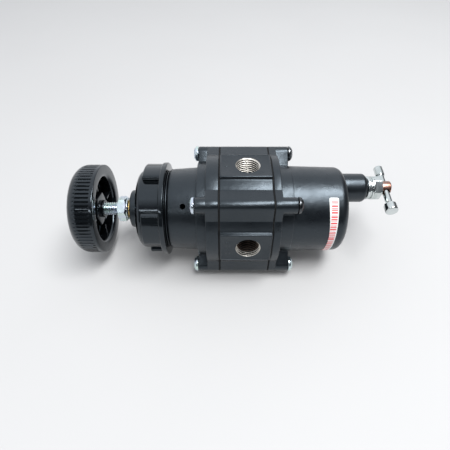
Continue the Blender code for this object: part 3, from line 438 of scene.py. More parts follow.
class Graph:
    """Short calls for a material's nodes."""

    def __init__(self, name):
        self.material = bpy.data.materials.new(name)
        self.material.use_nodes = True
        self.tree = self.material.node_tree
        self.shader = self.tree.nodes["Principled BSDF"]
        self.coordinates = self.add("ShaderNodeTexCoord").outputs["Object"]

    def add(self, kind, **settings):
        node = self.tree.nodes.new(kind)
        for key, value in settings.items():
            setattr(node, key, value)
        return node

    def put(self, socket, value):
        """Links a node's output to the socket, or sets the socket to a constant."""
        if isinstance(value, bpy.types.NodeSocket):
            self.tree.links.new(value, socket)
        else:
            socket.default_value = value

    def set(self, node, **values):
        for key, value in values.items():
            self.put(node.inputs[key.replace("_", " ")], value)

    def noise(self, scale, detail=3.0, roughness=0.55, stretch=None, distortion=0.0):
        node = self.add("ShaderNodeTexNoise")
        vector = self.coordinates
        if stretch:
            mapping = self.add("ShaderNodeMapping")
            self.set(mapping, Vector=vector, Scale=stretch)
            vector = mapping.outputs["Vector"]
        self.set(node, Vector=vector, Scale=scale, Detail=detail, Roughness=roughness)
        self.set(node, Distortion=distortion)
        return node.outputs["Fac"]

    def ramp(self, value, low, high, start=0.0, end=1.0):
        node = self.add("ShaderNodeMapRange", interpolation_type="SMOOTHSTEP")
        self.set(node, Value=value, From_Min=low, From_Max=high, To_Min=start, To_Max=end)
        return node.outputs["Result"]

    def math(self, operation, a, b=0.0):
        node = self.add("ShaderNodeMath", operation=operation)
        self.put(node.inputs[0], a)
        self.put(node.inputs[1], b)
        return node.outputs[0]

    def mix(self, share, a, b):
        """Two colours mixed; a colour is an output or three numbers."""
        node = self.add("ShaderNodeMix", data_type="RGBA")
        self.put(node.inputs[0], share)
        for socket, colour in ((node.inputs[6], a), (node.inputs[7], b)):
            self.put(socket, (*colour, 1.0) if isinstance(colour, tuple) else colour)
        return node.outputs[2]

    def bump(self, height, distance, normal=None):
        node = self.add("ShaderNodeBump")
        self.set(node, Strength=1.0, Distance=distance * MM, Height=height)
        if normal:
            self.set(node, Normal=normal)
        return node.outputs["Normal"]

    def rim_wear_and_highlight(self, radius, low, high):
        """How much a place looks like a rim, broken up by noise: where worn paint and a painted highlight
        lighten it.
        """
        bevel = self.add("ShaderNodeBevel", samples=4)
        self.set(bevel, Radius=radius * MM)
        geometry = self.add("ShaderNodeNewGeometry")
        dot = self.add("ShaderNodeVectorMath", operation="DOT_PRODUCT")
        self.tree.links.new(bevel.outputs[0], dot.inputs[0])
        self.tree.links.new(geometry.outputs["Normal"], dot.inputs[1])
        edge = self.math("SUBTRACT", 1.0, dot.outputs["Value"])
        spots = self.math("MULTIPLY", self.noise(900, 5.0, 0.7), 0.6)
        return self.ramp(self.math("MULTIPLY", edge, spots), low, high)


def times(factor, colour):
    return tuple(factor * c for c in colour)


def cast_paint(name, base, rim_wear_and_highlight_colour, rough):
    """Satin black paint over a casting, lighter on its rims: partly worn paint, partly a painted highlight on
    the crests.
    """
    g = Graph(name)
    tone = g.ramp(g.noise(45, 4.0, 0.6), 0.35, 0.7)
    dust = g.ramp(g.noise(260, 6.0, 0.75), 0.52, 0.8, 0.0, 0.35)
    colour = g.mix(dust, g.mix(tone, base, times(1.35, base)), times(2.6, base))
    # Lighter rims: worn paint and a painted highlight along the crests.
    edge = g.math("MULTIPLY", g.rim_wear_and_highlight(0.35, 0.010, 0.09), 0.5)
    g.set(g.shader, Base_Color=g.mix(edge, colour, rim_wear_and_highlight_colour))
    g.set(g.shader, Roughness=g.ramp(g.noise(120, 5.0, 0.65), 0.3, 0.75, *rough), Metallic=0.0)
    g.set(g.shader, Specular_IOR_Level=0.62, Specular_Tint=(0.80, 0.95, 1.08, 1.0))
    grain = g.bump(g.noise(1700, 4.0, 0.6), 0.045)
    g.set(g.shader, Normal=g.bump(g.noise(330, 2.0, 0.5), 0.10, grain))
    return g.material


def gloss_moulding(name, base, rough):
    """Glossy black plastic with handling marks."""
    g = Graph(name)
    haze = g.ramp(g.noise(90, 5.0, 0.7), 0.35, 0.75)
    g.set(g.shader, Base_Color=g.mix(haze, base, times(1.8, base)))
    scratches = g.noise(700, 2.0, 0.5, stretch=(0.08, 1.0, 1.6), distortion=0.4)
    marks = g.ramp(scratches, 0.60, 0.72, 0.0, 0.16)
    blotch = g.ramp(g.noise(210, 6.0, 0.7), 0.3, 0.75, *rough)
    g.set(g.shader, Roughness=g.math("ADD", blotch, marks), Metallic=0.0)
    g.set(g.shader, Specular_IOR_Level=0.62, Specular_Tint=(0.82, 0.96, 1.08, 1.0))
    fine = g.bump(g.noise(2300, 2.0, 0.5), 0.004)
    g.set(g.shader, Normal=g.bump(g.noise(170, 2.0, 0.5), 0.05, fine))
    return g.material


def plated(name, base, second, rough, lines=0.004, ripple=0.02, tint_scale=130):
    """Plated or turned metal: two tints, stains, tool marks round the axis and fine dents."""
    g = Graph(name)
    tint = g.ramp(g.noise(tint_scale, 4.0, 0.6, distortion=0.6), 0.38, 0.66)
    stain = g.ramp(g.noise(420, 6.0, 0.7), 0.55, 0.8, 0.0, 0.5)
    g.set(g.shader, Base_Color=g.mix(stain, g.mix(tint, base, second), times(0.55, base)))
    g.set(g.shader, Roughness=g.ramp(g.noise(330, 6.0, 0.7), 0.3, 0.75, *rough), Metallic=1.0)
    tool_marks = g.bump(g.noise(5200, 2.0, 0.5, stretch=(1.0, 0.04, 0.04)), lines)
    g.set(g.shader, Normal=g.bump(g.noise(600, 3.0, 0.5), ripple, tool_marks))
    return g.material


def rubber_look(name, base):
    g = Graph(name)
    bloom = g.ramp(g.noise(300, 5.0, 0.7), 0.4, 0.8)
    g.set(g.shader, Base_Color=g.mix(bloom, base, times(2.2, base)))
    g.set(g.shader, Roughness=g.ramp(g.noise(800, 3.0, 0.5), 0.3, 0.7, 0.62, 0.85))
    g.set(g.shader, Specular_IOR_Level=0.2)
    g.set(g.shader, Normal=g.bump(g.noise(2600, 3.0, 0.6), 0.02))
    return g.material


def porous_look(name, base):
    """Sintered bronze beads."""
    g = Graph(name)
    beads = g.add("ShaderNodeTexVoronoi", feature="SMOOTH_F1")
    g.set(beads, Vector=g.coordinates, Scale=2200.0, Smoothness=0.4)
    distance = beads.outputs["Distance"]
    shade = g.ramp(distance, 0.1, 0.6)
    g.set(g.shader, Base_Color=g.mix(shade, base, times(0.35, base)))
    g.set(g.shader, Roughness=g.ramp(distance, 0.1, 0.6, 0.45, 0.9), Metallic=0.7)
    g.set(g.shader, Normal=g.bump(g.math("SUBTRACT", 1.0, distance), 0.12))
    return g.material


def label_look(name):
    """White film with a row of plain red blocks, no lettering."""
    g = Graph(name)
    split = g.add("ShaderNodeSeparateXYZ")
    g.set(split, Vector=g.coordinates)
    along, y, z = split.outputs
    angle = g.math("ARCTAN2", g.math("SUBTRACT", z, AXIS_Z * MM), y)
    middle = (LABEL_MARKS_STATION + SEAM_X) * MM
    across = g.math("ABSOLUTE", g.math("SUBTRACT", along, middle))
    marks = g.ramp(across, 1.75 * MM, 1.85 * MM, 1.0, 0.0)
    for pace, start, width in ((13.0, 0.5, 0.36), (21.0, 0.3, 0.42)):
        step = g.math("FRACT", g.math("MULTIPLY", angle, pace))
        off_middle = g.math("ABSOLUTE", g.math("SUBTRACT", step, start))
        marks = g.math("MULTIPLY", marks, g.ramp(off_middle, width - 0.03, width, 1.0, 0.0))
    past_end = g.math("ABSOLUTE", g.math("SUBTRACT", angle, radians(LABEL_FIRST)))
    marks = g.math("MULTIPLY", marks, g.ramp(past_end, radians(4.5), radians(4.8)))
    grime = g.ramp(g.noise(220, 6.0, 0.7), 0.5, 0.85, 0.0, 0.35)
    film = g.mix(grime, (0.83, 0.83, 0.82), (0.62, 0.60, 0.57))
    g.set(g.shader, Base_Color=g.mix(marks, film, (0.78, 0.06, 0.07)))
    g.set(g.shader, Roughness=g.ramp(g.noise(500, 4.0, 0.6), 0.3, 0.8, 0.28, 0.5))
    g.set(g.shader, Normal=g.bump(g.noise(420, 2.0, 0.5), 0.03))
    return g.material


LOOKS = {
    "cast_black": cast_paint("cast_black", (0.0032, 0.0040, 0.0050), (0.07, 0.07, 0.075), (0.27, 0.37)),
    "gloss_black": gloss_moulding("gloss_black", (0.0022, 0.0027, 0.0033), (0.06, 0.13)),
    "rubber": rubber_look("rubber", (0.010, 0.010, 0.010)),
    "zinc": plated("zinc", (0.62, 0.67, 0.80), (0.62, 0.76, 0.72), (0.16, 0.34), 0.003, 0.03),
    # A darker copy of zinc: a painted dark reflection on two bowl screw heads.
    "dark_zinc": plated("dark_zinc", (0.07, 0.075, 0.08), (0.16, 0.17, 0.18), (0.14, 0.30)),
    "steel": plated("steel", (0.42, 0.41, 0.40), (0.30, 0.29, 0.28), (0.25, 0.45)),
    "aluminium": plated("aluminium", (0.72, 0.72, 0.73), (0.60, 0.61, 0.62), (0.28, 0.50), 0.008),
    "brass": plated("brass", (0.80, 0.62, 0.28), (0.74, 0.50, 0.20), (0.18, 0.34)),
    "bronze": plated("bronze", (0.40, 0.19, 0.14), (0.30, 0.22, 0.19), (0.22, 0.38)),
    "chrome": plated("chrome", (0.66, 0.70, 0.70), (0.52, 0.57, 0.56), (0.05, 0.16), 0.002, 0.014),
    "sintered": porous_look("sintered", (0.60, 0.44, 0.24)),
    "label_white": label_look("label_white"),
    "bare_bore": plated("bare_bore", (0.74, 0.71, 0.66), (0.62, 0.60, 0.55), (0.42, 0.55), 0.0, 0.0, 300),
    # The next two are darker copies for inside the ports: painted shade in the deep bore and in the thread
    # roots.
    "bore_painted_shade": plated("bore_painted_shade", (0.16, 0.12, 0.10), (0.10, 0.08, 0.07), (0.45, 0.60), 0.002, 0.006, 300),
    "thread_root_painted_shade": rubber_look("thread_root_painted_shade", (0.004, 0.0035, 0.003)),
}
BODY_LOOKS = ["cast_black", "bare_bore", "thread_root_painted_shade", "bore_painted_shade"]


# ---------------------------------------------------------------- adjusting end

def smooth(value):
    value = np.clip(value, 0.0, 1.0)
    return value * value * (3 - 2 * value)


def knob_wave(radius, station, angles):
    """Ribs round the rim, fading out over the rounded edge and before the mouth."""
    radii = np.full(len(angles), float(radius))
    if radius < KNOB_CUP_RADIUS + 2.0:
        return radii
    depth = 0.85 * smooth((-74.6 - station) / 0.7) * smooth((station + 84.8) / 2.6)
    ramp = 1 - np.abs(2 * ((angles * KNOB_RIBS / tau) % 1.0) - 1)
    groove = 1 - smooth((ramp - 0.10) / 0.42)
    return radii - depth * groove


def knob_profile():
    """A closed line: rim, rounded edge, face, screw pocket, stem socket, hub, cup and lip."""
    rim = [(KNOB_RADIUS - 0.1, KNOB_MOUTH, 0.35)]
    rim += [(KNOB_RADIUS, station, 0) for station in (-73.6, -74.6, -75.3, -78.5)]
    edge_centre = (KNOB_RADIUS - KNOB_ROUNDING, KNOB_FACE + KNOB_ROUNDING)
    edge = arc(edge_centre, KNOB_ROUNDING, 0, -90, 14)
    face = [(18.6, KNOB_FACE), (17.9, -89.1), (10.8, -89.0, 0.4), (10.2, KNOB_FACE), (9.4, KNOB_FACE)]
    pocket = [(8.8, -89.1), (4.9, -89.1), (4.7, -84.5, 0.1), (2.3, -84.5, 0)]
    socket = [(2.3, KNOB_SOCKET_FLOOR, 0), (KNOB_SOCKET_RADIUS, KNOB_SOCKET_FLOOR, 0)]
    socket += [(KNOB_SOCKET_RADIUS, KNOB_HUB_END, 0.2)]
    hub = [(KNOB_HUB_RADIUS, KNOB_HUB_END, 0.4), (KNOB_HUB_RADIUS, KNOB_CUP_FLOOR, 0.5)]
    cup = [(KNOB_CUP_RADIUS, KNOB_CUP_FLOOR, 1.6), (KNOB_CUP_RADIUS, -77.0, 0)]
    lip_centre = (KNOB_CUP_RADIUS + KNOB_LIP, KNOB_MOUTH - KNOB_LIP)
    lip = arc(lip_centre, KNOB_LIP, 180, 90, 10)
    return rounded([*rim, *edge, *face, *pocket, *socket, *hub, *cup, *lip], 0.3, closed=True, parts=3)


def make_knob():
    knob = lathe(knob_profile(), KNOB_RIBS * 8, True, wave=knob_wave)
    web_floor = KNOB_CUP_FLOOR - 1.0
    webs = [plate(hexagon(10.6, 15, 0.7), web_floor, -75.7, 0.4)]
    spoke = rectangle(12.6, KNOB_CUP_RADIUS + 1.0, -SPOKE_HALF_WIDTH, SPOKE_HALF_WIDTH, 0.3)
    for i in range(SPOKE_COUNT):
        webs.append(plate(placed(spoke, 80.0 + 90 * i), web_floor, -75.9, 0.3))
    socket = rod(KNOB_SOCKET_RADIUS, KNOB_SOCKET_FLOOR, KNOB_HUB_END + 1.0, 64)
    knob = cut(merged(knob, webs), [socket])
    piece("knob_handwheel", knob, "gloss_black", "adjuster", ["knob"])


def cross_recess(half, low, high):
    """The two bars that cut a cross recess into a screw head."""
    width = half * 0.2
    outline = rectangle(-half, half, -width, width, width * 0.6)
    return [plate(placed(outline, angle), low, high, 0.1) for angle in (20, 110)]


def make_stem():
    stem = threaded(STEM_RADIUS, 0.62, -82.7, -42.1, STEM_PITCH, 40)
    piece("adjusting_screw_thread", stem, "zinc", "adjuster", ["adjusting_screw"], sharp=50)
    shank = [(0, -75.8), (1.4, -75.8), (1.4, -84.8)]
    head = [(3.9, -84.8), (3.9, -86.3, 0.6), (2.4, -87.6, 0.8), (0, -87.7)]
    screw = cut(lathe(rounded([*shank, *head], 0.2), 48), cross_recess(2.3, -88.8, -86.4))
    piece("knob_screw_head", screw, "zinc", "adjuster", ["knob_screw"])


def make_nuts():
    flats = plate(hexagon(LOCK_NUT_CORNER, 127), LOCK_NUT_START, LOCK_NUT_END, 0.05, 1)
    cone = [(4.25, LOCK_NUT_START, 0.25), (7.0, LOCK_NUT_START)]
    cone += [(LOCK_NUT_CHAMFER_RADIUS, LOCK_NUT_START + 1.0, 0)]
    cone += [(LOCK_NUT_CHAMFER_RADIUS, LOCK_NUT_END - 1.0, 0)]
    cone += [(7.0, LOCK_NUT_END), (4.25, LOCK_NUT_END, 0.25)]
    nut = merged(flats, [lathe(rounded(cone, 0.2, closed=True), 96, True)], "INTERSECT")
    piece("lock_nut_hex", nut, "zinc", "lock_nut", ["lock_nut"], sharp=25)
    lock_washer = washer(NUT_BORE_RADIUS, 7.0, -58.9, -58.3, 0.12, 72)
    piece("lock_washer_ring", lock_washer, "zinc", "lock_washer", ["lock_washer"])
    sleeve = [(NUT_BORE_RADIUS, -45.0), (5.2, -45.0), (5.2, -56.0, 0)]
    collar = [(5.8, -56.0), (5.8, -57.5), (5.3, -58.0), (4.6, -58.0), (NUT_BORE_RADIUS, -57.7)]
    bushing = lathe(rounded([*sleeve, *collar], 0.15, closed=True), 72, True)
    piece("stem_bushing_brass", bushing, "brass", "housing", ["stem_bushing"])
    ring = washer(RING_BORE_RADIUS, 24.4, -31.6, -31.0, 0.2, 96)
    piece("panel_washer_ring", ring, "cast_black", "panel_washer", ["panel_washer"])


def make_ring_nut():
    flange_face = RING_FLANGE_RADIUS - 0.5
    flange = [(0, RING_BACK), (flange_face, RING_BACK, 0.5), (RING_FLANGE_RADIUS, RING_BACK - 0.5, 0.3)]
    flange += [(RING_FLANGE_RADIUS, RING_FLANGE_START + 0.5, 0.4), (flange_face, RING_FLANGE_START, 0.3)]
    dome = [(24.7, RING_FLANGE_START, 0.5)]
    for t in np.linspace(0, pi / 2, 14):
        dome.append((19.4 + 5.3 * cos(t), RING_DOME_FOOT - 4.2 * sin(t), 0))
    nut = lathe(rounded([*flange, *dome, (0, RING_DOME_FOOT - 4.2)], 0.0), 360)
    nut = merged(nut, [plate(ring_lobes(), RING_LOBE_START, -33.4, 1.1, 6)])
    mouth = [(0, -52.0), (18.6, -52.0)]
    bore = [*mouth, (RING_BORE_RADIUS, -49.2), (RING_BORE_RADIUS, -30.0), (0, -30.0)]
    piece("ring_nut_lobed", cut(nut, [lathe(bore, 144)]), "gloss_black", "ring_nut", ["ring_nut"], sharp=40)


# ---------------------------------------------------------------- castings

def screw_drills(low, high):
    return [rod(SCREW_DRILL_RADIUS, low, high, 32, polar(BOLT_RADIUS, angle)) for angle in LUG_ANGLES]


def make_bonnet():
    skirt = [(0, -4.0), (BONNET_RADIUS, -4.0, 0), (BONNET_RADIUS, -13.4, 0), (26.2, -15.0, 0)]
    shoulder = [(25.1, BONNET_SHOULDER, 1.2), (15.0, BONNET_SHOULDER), (15.0, NECK_END)]
    nose = [(NOSE_RADIUS, NECK_END, 0.5), (NOSE_RADIUS, NOSE_END, 0.9), (0, NOSE_END)]
    bonnet = lathe(rounded([*skirt, *shoulder, *nose], 0.3), 160)
    band = plate(flange_outline(29.7, tube_lug, 0.9), -13.4, -7.0, 0.55)
    flange = plate(flange_outline(FLANGE_RADIUS, wide_lug), -7.8, -BODY_START, 0.5)
    neck = threaded(NECK_RADIUS, 0.7, NECK_END, -31.2, NECK_PITCH, 120)
    bonnet = merged(bonnet, [band, flange, neck])
    chamber = [(0, 1.0), (26.5, 1.0), (26.5, -3.4), (20.5, -5.0), (20.5, -26.6)]
    bore = [(12.3, -30.1), (12.3, -44.2), (5.5, -44.2), (5.5, -57.0), (0, -57.0)]
    vent = lathe([(0, 18), (1.4, 18), (1.4, 25.2), (1.9, 26.0), (1.9, 34), (0, 34)], 32)
    vent = pointing(vent, CAMERA_SIDE, VENT_STATION)
    bonnet = cut(bonnet, [lathe([*chamber, *bore], 96), *screw_drills(-15, 1), vent])
    piece("bonnet_casting", bonnet, "cast_black", "housing", ["bonnet"])


def port_cutter(angle):
    """A countersunk bore and a tapered thread whose roots stay open to view."""
    mouth = [(0, 36.5), (9.6, 36.5), (PORT_MOUTH_RADIUS, PORT_MOUTH_DISTANCE)]
    bore = [(6.5, 33.2), (6.2, 20.1), (0, 19.5)]
    depth = PORT_THREAD_DEPTH
    top = PORT_MOUTH_DISTANCE + 0.3
    thread = threaded(PORT_THREAD_RADIUS, depth, PORT_THREAD_FLOOR, top, PORT_PITCH, 80, PORT_TAPER)
    return [pointing(tool, angle, PORT_STATION) for tool in (lathe([*mouth, *bore], 120), thread)]


def cast_marks():
    """Small plain bumps beside two ports, as a founder leaves on a pad."""
    top, foot = PAD_DISTANCE - 0.02, PAD_DISTANCE - 0.8
    dot = [(0, 33.0), (1.0, 33.0), (1.0, top, 0.4), (0, top)]
    marks = [pointing(lathe(rounded(dot, 0), 24), UP, 4.2, (-0.65, 0.0))]
    for low, high in ((-5.2, -1.0), (1.0, 5.2)):
        outline = rectangle(-top, -foot, low, high, 0.12)
        marks.append(plate(outline, 3.6, 4.4, 0.12))
        marks.append(plate(outline, 5.4, 6.2, 0.12))
    return marks


def body_tools():
    """What is cut out of the body: chambers, screw holes, ports, passages and pad recesses."""
    bowl_side = [(0, 32), (12.0, 32), (12.0, 16.5), (5.3, 16.5)]
    diaphragm_side = [(5.3, 12.5), (14.0, 12.5), (14.0, 4.6), (26.0, 4.0), (26.0, -1.0), (0, -1.0)]
    tools = [lathe([*bowl_side, *diaphragm_side], 96), *screw_drills(-1, 31)]
    for angle in PAD_ANGLES:
        tools += port_cutter(angle)
    tools.append(rod(2.9, PORT_STATION, 31, 32, polar(20.9, NEAR)))
    for angle in (AWAY, UP, DOWN):
        tools.append(pointing(rod(2.6, 8, 20.5, 32), angle, 12.0))
    recess = rectangle(PAD_DISTANCE - 0.2, 37.0, -10.1, 10.1, 0.12)
    for angle in PAD_ANGLES:
        tools.append(spun(plate(recess, 1.3, 29.3, 0.12), angle))
    return tools


def paint_ports(mesh):
    """Gives every face of the ports the look of bare metal, or painted shade: near black thread roots, and a
    dark deep bore in the side ports.
    """
    centres = np.array([p.center for p in mesh.polygons]) / MM - (SEAM_X, 0.0, AXIS_Z)
    looks = np.zeros(len(centres), int)
    for angle in PAD_ANGLES:
        depth = centres @ np.array([0.0, *polar(1.0, angle)])
        side = centres @ np.array([0.0, *polar(1.0, angle + 90)])
        reach = np.hypot(centres[:, 0] - PORT_STATION, side)
        bore = (depth > 18.5) & (depth < 34.05) & (reach < PORT_MOUTH_RADIUS + 0.05)
        root_reach = 6.52 + (depth - PORT_THREAD_FLOOR) * PORT_TAPER
        looks[bore] = BODY_LOOKS.index("bare_bore")
        # Deeper than 30.4 mm the side ports take a darker copy of the bore metal: painted shade where the
        # light does not reach.
        if angle != UP:
            looks[bore & (depth < 30.4)] = BODY_LOOKS.index("bore_painted_shade")
        # The thread roots are near black: painted shade in the valleys of the thread.
        looks[bore & (depth < 33.4) & (reach > root_reach)] = BODY_LOOKS.index("thread_root_painted_shade")
    mesh.polygons.foreach_set("material_index", looks)


def make_body():
    body = cut(plate(body_outline(), BODY_START, BODY_END, 0.5), body_tools())
    made = piece("body_casting", merged(body, cast_marks()), BODY_LOOKS, "housing", ["body"])
    paint_ports(made.data)


def make_bowl():
    flange = plate(flange_outline(FLANGE_RADIUS, wide_lug), 30.82, 35.3, 0.5)
    tubes = plate(flange_outline(27.3, tube_lug, 0.9), 33.0, 43.3, 0.5)
    corner = arc((BOWL_RADIUS - BOWL_ROUNDING, BOWL_END - BOWL_ROUNDING), BOWL_ROUNDING, 90, 0, 12)
    core = lathe([(0, BOWL_END), *corner, (27.2, 40.0), (26.9, 33.0), (0, 33.0)], 160)
    boss = [(0, 92.8), (9.1, 92.8, 2.8), (9.1, 73.9), (0, 73.9)]
    boss = lathe(rounded(boss, 0, parts=8), 96, centre=DRAIN_CENTRE)
    bowl = merged(flange, [tubes, core, boss])
    hollow = [(0, 72.0), (20.5, 72.0), (24.3, 68.5), (24.3, 29.0), (0, 29.0)]
    bore = [(0, 93.8), (4.9, 93.8), (4.9, 85.0), (2.0, 83.5), (2.0, 70.0), (0, 70.0)]
    tools = [lathe(hollow, 96), lathe(bore, 64, centre=DRAIN_CENTRE), *screw_drills(30, 45)]
    piece("bowl_casting", cut(bowl, tools), "cast_black", "housing", ["bowl"])


def sheet(inset, low, high, hole):
    """A flat seal with the flange's outline, a hole in its middle and the screw holes."""
    outline = shrunk(flange_outline(FLANGE_RADIUS, wide_lug), inset)
    return cut(plate(outline, low, high, 0.12), [hole, *screw_drills(-2, 33)])


def make_gaskets():
    gasket = sheet(0.1, 30.3, 30.8, rod(24.5, 29, 32, 96))
    piece("bowl_gasket_sheet", gasket, "rubber", "housing", ["bowl_gasket"])
    diaphragm = sheet(-0.02, -0.3, 0.3, rod(2.5, -1, 1, 32))
    piece("diaphragm_sheet", diaphragm, "rubber", "housing", ["diaphragm"])


def make_label():
    """A band round the bowl with rounded ends, whose lower edge rises over 60 degrees."""
    corner = 0.8
    rings = []
    for angle in np.linspace(LABEL_FIRST, LABEL_LAST, 121):
        from_end = min(angle - LABEL_FIRST, LABEL_LAST - angle) * tau / 360 * (BOWL_RADIUS + 0.3)
        lost = 0.0 if from_end > corner else corner - sqrt(corner**2 - (corner - from_end) ** 2)
        bottom = LABEL_LOW + lost + 1.5 * float(smooth((angle - LABEL_FIRST) / 60))
        top = LABEL_HIGH - lost
        inner = [BOWL_RADIUS + BOWL_DRAFT * (69.9 - station) + 0.03 for station in (bottom, top)]
        outer = [radius + 0.14 for radius in inner]
        section = [(bottom, inner[0]), (bottom, outer[0]), (top, outer[1]), (top, inner[1])]
        rings.append(np.array([(station, *polar(radius, angle)) for station, radius in section]))
    piece("bowl_label_film", skin(rings), "label_white", "housing", ["bowl_label"])


def make_screws():
    head = [(0, 3.0), (3.1, 2.7, 1.0), (4.6, 1.5, 0.8), (4.9, 0.0, 0.25)]
    shank = [(2.4, 0.0), (2.4, -25.0, 0.2), (1.8, -25.6, 0), (0, -25.6)]
    profile = rounded([*head, *shank], 0.1, parts=3)
    for row, station, flip in (("bonnet_screw", -13.7, pi), ("bowl_screw", 43.6, 0.0)):
        for i, angle in enumerate(LUG_ANGLES, start=1):
            screw = cut(lathe(profile, 48), [spun(bar, 37 * i) for bar in cross_recess(2.7, 1.5, 4.0)])
            place = Matrix.Translation(Vector((station, *polar(BOLT_RADIUS, angle))) * MM)
            moved(screw, place @ Matrix.Rotation(flip, 4, "Z"))
            # The bowl screws at 45 and 135 degrees take the darker copy of zinc: a painted dark reflection.
            look = "dark_zinc" if row == "bowl_screw" and i < 3 else "zinc"
            piece(f"{row}_{i}_pan_head", screw, look, "housing", [f"{row}_{i}"])


# ---------------------------------------------------------------- drain cock

def make_drain_body():
    collar = [(0, 98.4), (6.6, 98.4, 0.3), (7.4, 97.6, 0.5), (7.4, 96.4, 0.25), (6.7, 96.1)]
    collar += [(6.7, 95.3), (7.4, 95.0, 0.25), (7.4, 93.7, 0.3), (6.8, 93.1)]
    shank = [(4.6, 93.1, 0), (4.6, 86.6), (4.0, 86.0), (0, 86.0)]
    body = lathe(rounded([*collar, *shank], 0.1), 96, centre=DRAIN_CENTRE)
    across, up = DRAIN_CENTRE
    outline = [(across + y, up + z) for y, z in hexagon(7.5, CAMERA_SIDE)]
    cone = rounded([(0, 96), (8.2, 96, 0), (8.2, 101.8, 0), (6.7, 102.6, 0.1), (0, 102.6)], 0)
    cone = lathe(cone, 96, centre=DRAIN_CENTRE)
    body = merged(body, [merged(plate(outline, 97.0, 102.6, 0.05, 1), [cone], "INTERSECT")])
    bore = [(0, 103.7), (2.9, 103.7), (2.9, 93.5), (1.6, 92.2), (1.6, 85.0), (0, 85.0)]
    body = cut(body, [lathe(bore, 48, centre=DRAIN_CENTRE)])
    piece("drain_body_collar", body, "chrome", "housing", ["drain_body"])


def make_drain_handle():
    stem = [(0, 109.1), (4.3, 109.1, 0.6), (4.3, 102.9, 0.4), (2.5, 102.9, 0), (2.5, 96.3), (0, 96.3)]
    stem = lathe(rounded(stem, 0.1), 72, centre=DRAIN_CENTRE)
    hole = pointing(rod(2.7, -8, 8, 48), BAR_ANGLE, BAR_STATION, DRAIN_CENTRE)
    piece("drain_stem_hub", cut(stem, [hole]), "bronze", "drain_handle", ["drain_stem"])
    thick_end = [(0, 19.5), (3.9, 19.5, 0.9), (3.9, 14.5, 0.6), (3.1, 13.5), (2.2, 12.7, 0.4)]
    thin_end = [(2.2, -9.4, 0.4), (2.9, -10.4), (2.9, -17.7, 1.0), (0, -17.7)]
    bar = lathe(rounded([*thick_end, *thin_end], 0.3), 64)
    bar = pointing(bar, BAR_ANGLE, BAR_STATION, DRAIN_CENTRE)
    piece("drain_bar_handle", bar, "chrome", "drain_handle", ["drain_bar"])


# ---------------------------------------------------------------- stage, light and camera

def floor_look():
    g = Graph("studio_floor")
    tone = g.ramp(g.noise(6, 3.0, 0.5), 0.3, 0.7)
    g.set(g.shader, Base_Color=g.mix(tone, (0.465, 0.465, 0.465), (0.472, 0.472, 0.472)))
    g.set(g.shader, Emission_Color=(1.0, 0.995, 0.99, 1.0), Emission_Strength=0.04)
    g.set(g.shader, Roughness=0.7)
    return g.material


def make_stage():
    half = 4.0
    mesh = bpy.data.meshes.new("floor")
    corners = [(-half, -half, 0), (half, -half, 0), (half, half, 0), (-half, half, 0)]
    mesh.from_pydata(corners, [], [(0, 1, 2, 3)])
    floor = bpy.data.objects.new("studio_floor", mesh)
    floor.location.z = -0.05 * MM
    mesh.materials.append(floor_look())
    bpy.context.scene.collection.objects.link(floor)


def area_light(name, location, target, size, power):
    light = bpy.data.lights.new(name, "AREA")
    light.shape = "RECTANGLE"
    light.size, light.size_y = size
    light.energy = power
    obj = bpy.data.objects.new(name, light)
    obj.location = location
    obj.rotation_euler = (Vector(target) - Vector(location)).to_track_quat("-Z", "Y").to_euler()
    bpy.context.scene.collection.objects.link(obj)


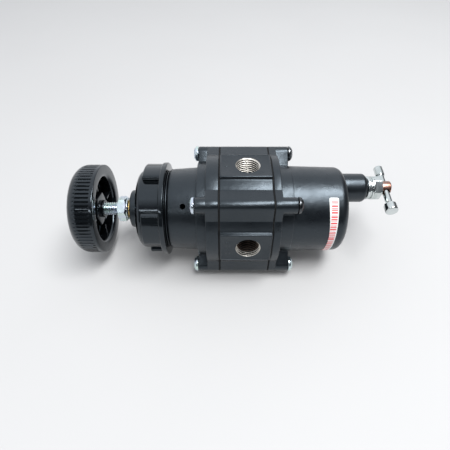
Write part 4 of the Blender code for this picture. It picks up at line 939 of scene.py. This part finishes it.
def make_world():
    """A pale sky above and behind, dim low in front and on the right, bright on the left."""
    sky = ((0.0, (0.09, 0.10, 0.11)), (0.20, (0.17, 0.18, 0.20)), (0.55, (1.06, 1.09, 1.14)))
    walls = ((0.35, 0.75, (0.12, 0.12, 0.13)), (-0.50, -0.85, (0.90, 0.92, 0.95)))
    world = bpy.data.worlds.new("studio")
    bpy.context.scene.world = world
    world.use_nodes = True
    tree = world.node_tree
    where = tree.nodes.new("ShaderNodeTexCoord").outputs["Generated"]
    lean = tree.nodes.new("ShaderNodeVectorMath")
    lean.operation = "DOT_PRODUCT"
    lean.inputs[1].default_value = (0.0, 0.55, 0.83)
    tree.links.new(where, lean.inputs[0])
    ramp = tree.nodes.new("ShaderNodeValToRGB")
    tree.links.new(lean.outputs["Value"], ramp.inputs["Fac"])
    stops = ramp.color_ramp.elements
    for stop, (position, tint) in zip(stops, (sky[0], sky[-1])):
        stop.position = position
        stop.color = (*tint, 1.0)
    for position, tint in sky[1:-1]:
        stops.new(position).color = (*tint, 1.0)
    split = tree.nodes.new("ShaderNodeSeparateXYZ")
    tree.links.new(where, split.inputs[0])
    colour = ramp.outputs["Color"]
    for low, high, wall in walls:
        share = tree.nodes.new("ShaderNodeMapRange")
        share.inputs["From Min"].default_value = low
        share.inputs["From Max"].default_value = high
        tree.links.new(split.outputs[0], share.inputs["Value"])
        mixer = tree.nodes.new("ShaderNodeMix")
        mixer.data_type = "RGBA"
        mixer.inputs[7].default_value = (*wall, 1.0)
        tree.links.new(share.outputs["Result"], mixer.inputs[0])
        tree.links.new(colour, mixer.inputs[6])
        colour = mixer.outputs[2]
    tree.links.new(colour, tree.nodes["Background"].inputs["Color"])
    tree.nodes["Background"].inputs["Strength"].default_value = 1.0


def make_camera():
    camera = bpy.data.cameras.new("camera")
    camera.lens = 29.6
    camera.sensor_width = 36.0
    camera.clip_start = 0.01
    obj = bpy.data.objects.new("camera", camera)
    obj.location = ((3.35 + SEAM_X) * MM, -0.1763, 0.1956)
    obj.rotation_euler = (radians(45), 0, 0)
    bpy.context.scene.collection.objects.link(obj)
    bpy.context.scene.camera = obj


# ---------------------------------------------------------------- assembly

# Only the CAD nodes and the bodies that they ride on stay from before.
for leftover in list(bpy.data.objects):
    if "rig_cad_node" not in leftover and not leftover.name.startswith("body:"):
        bpy.data.objects.remove(leftover)

make_knob()
make_stem()
make_nuts()
make_ring_nut()
make_bonnet()
make_body()
make_bowl()
make_gaskets()
make_label()
make_screws()
make_drain_body()
make_drain_handle()

# The CAD nodes take their slots' looks, which show on the inside pieces.
SLOT_OF = {part["node"]: part["material_slot"] for part in frame["record"]["subparts"]}
for name, node in frame["nodes"].items():
    node.data.materials.clear()
    node.data.materials.append(LOOKS[SLOT_OF[name]])

# The key is a softbox overhead; the front light is a strip that draws thin lines on gloss.
make_stage()
make_world()
area_light("key", (0.33, -0.27, 1.29), (0, 0, 0.03), (1.08, 0.42), 23.0)
area_light("front", (-0.36, -0.72, 0.575), (-0.06, 0, 0.03), (0.40, 0.05), 0.40)
make_camera()
bpy.context.scene.view_settings.view_transform = "Standard"
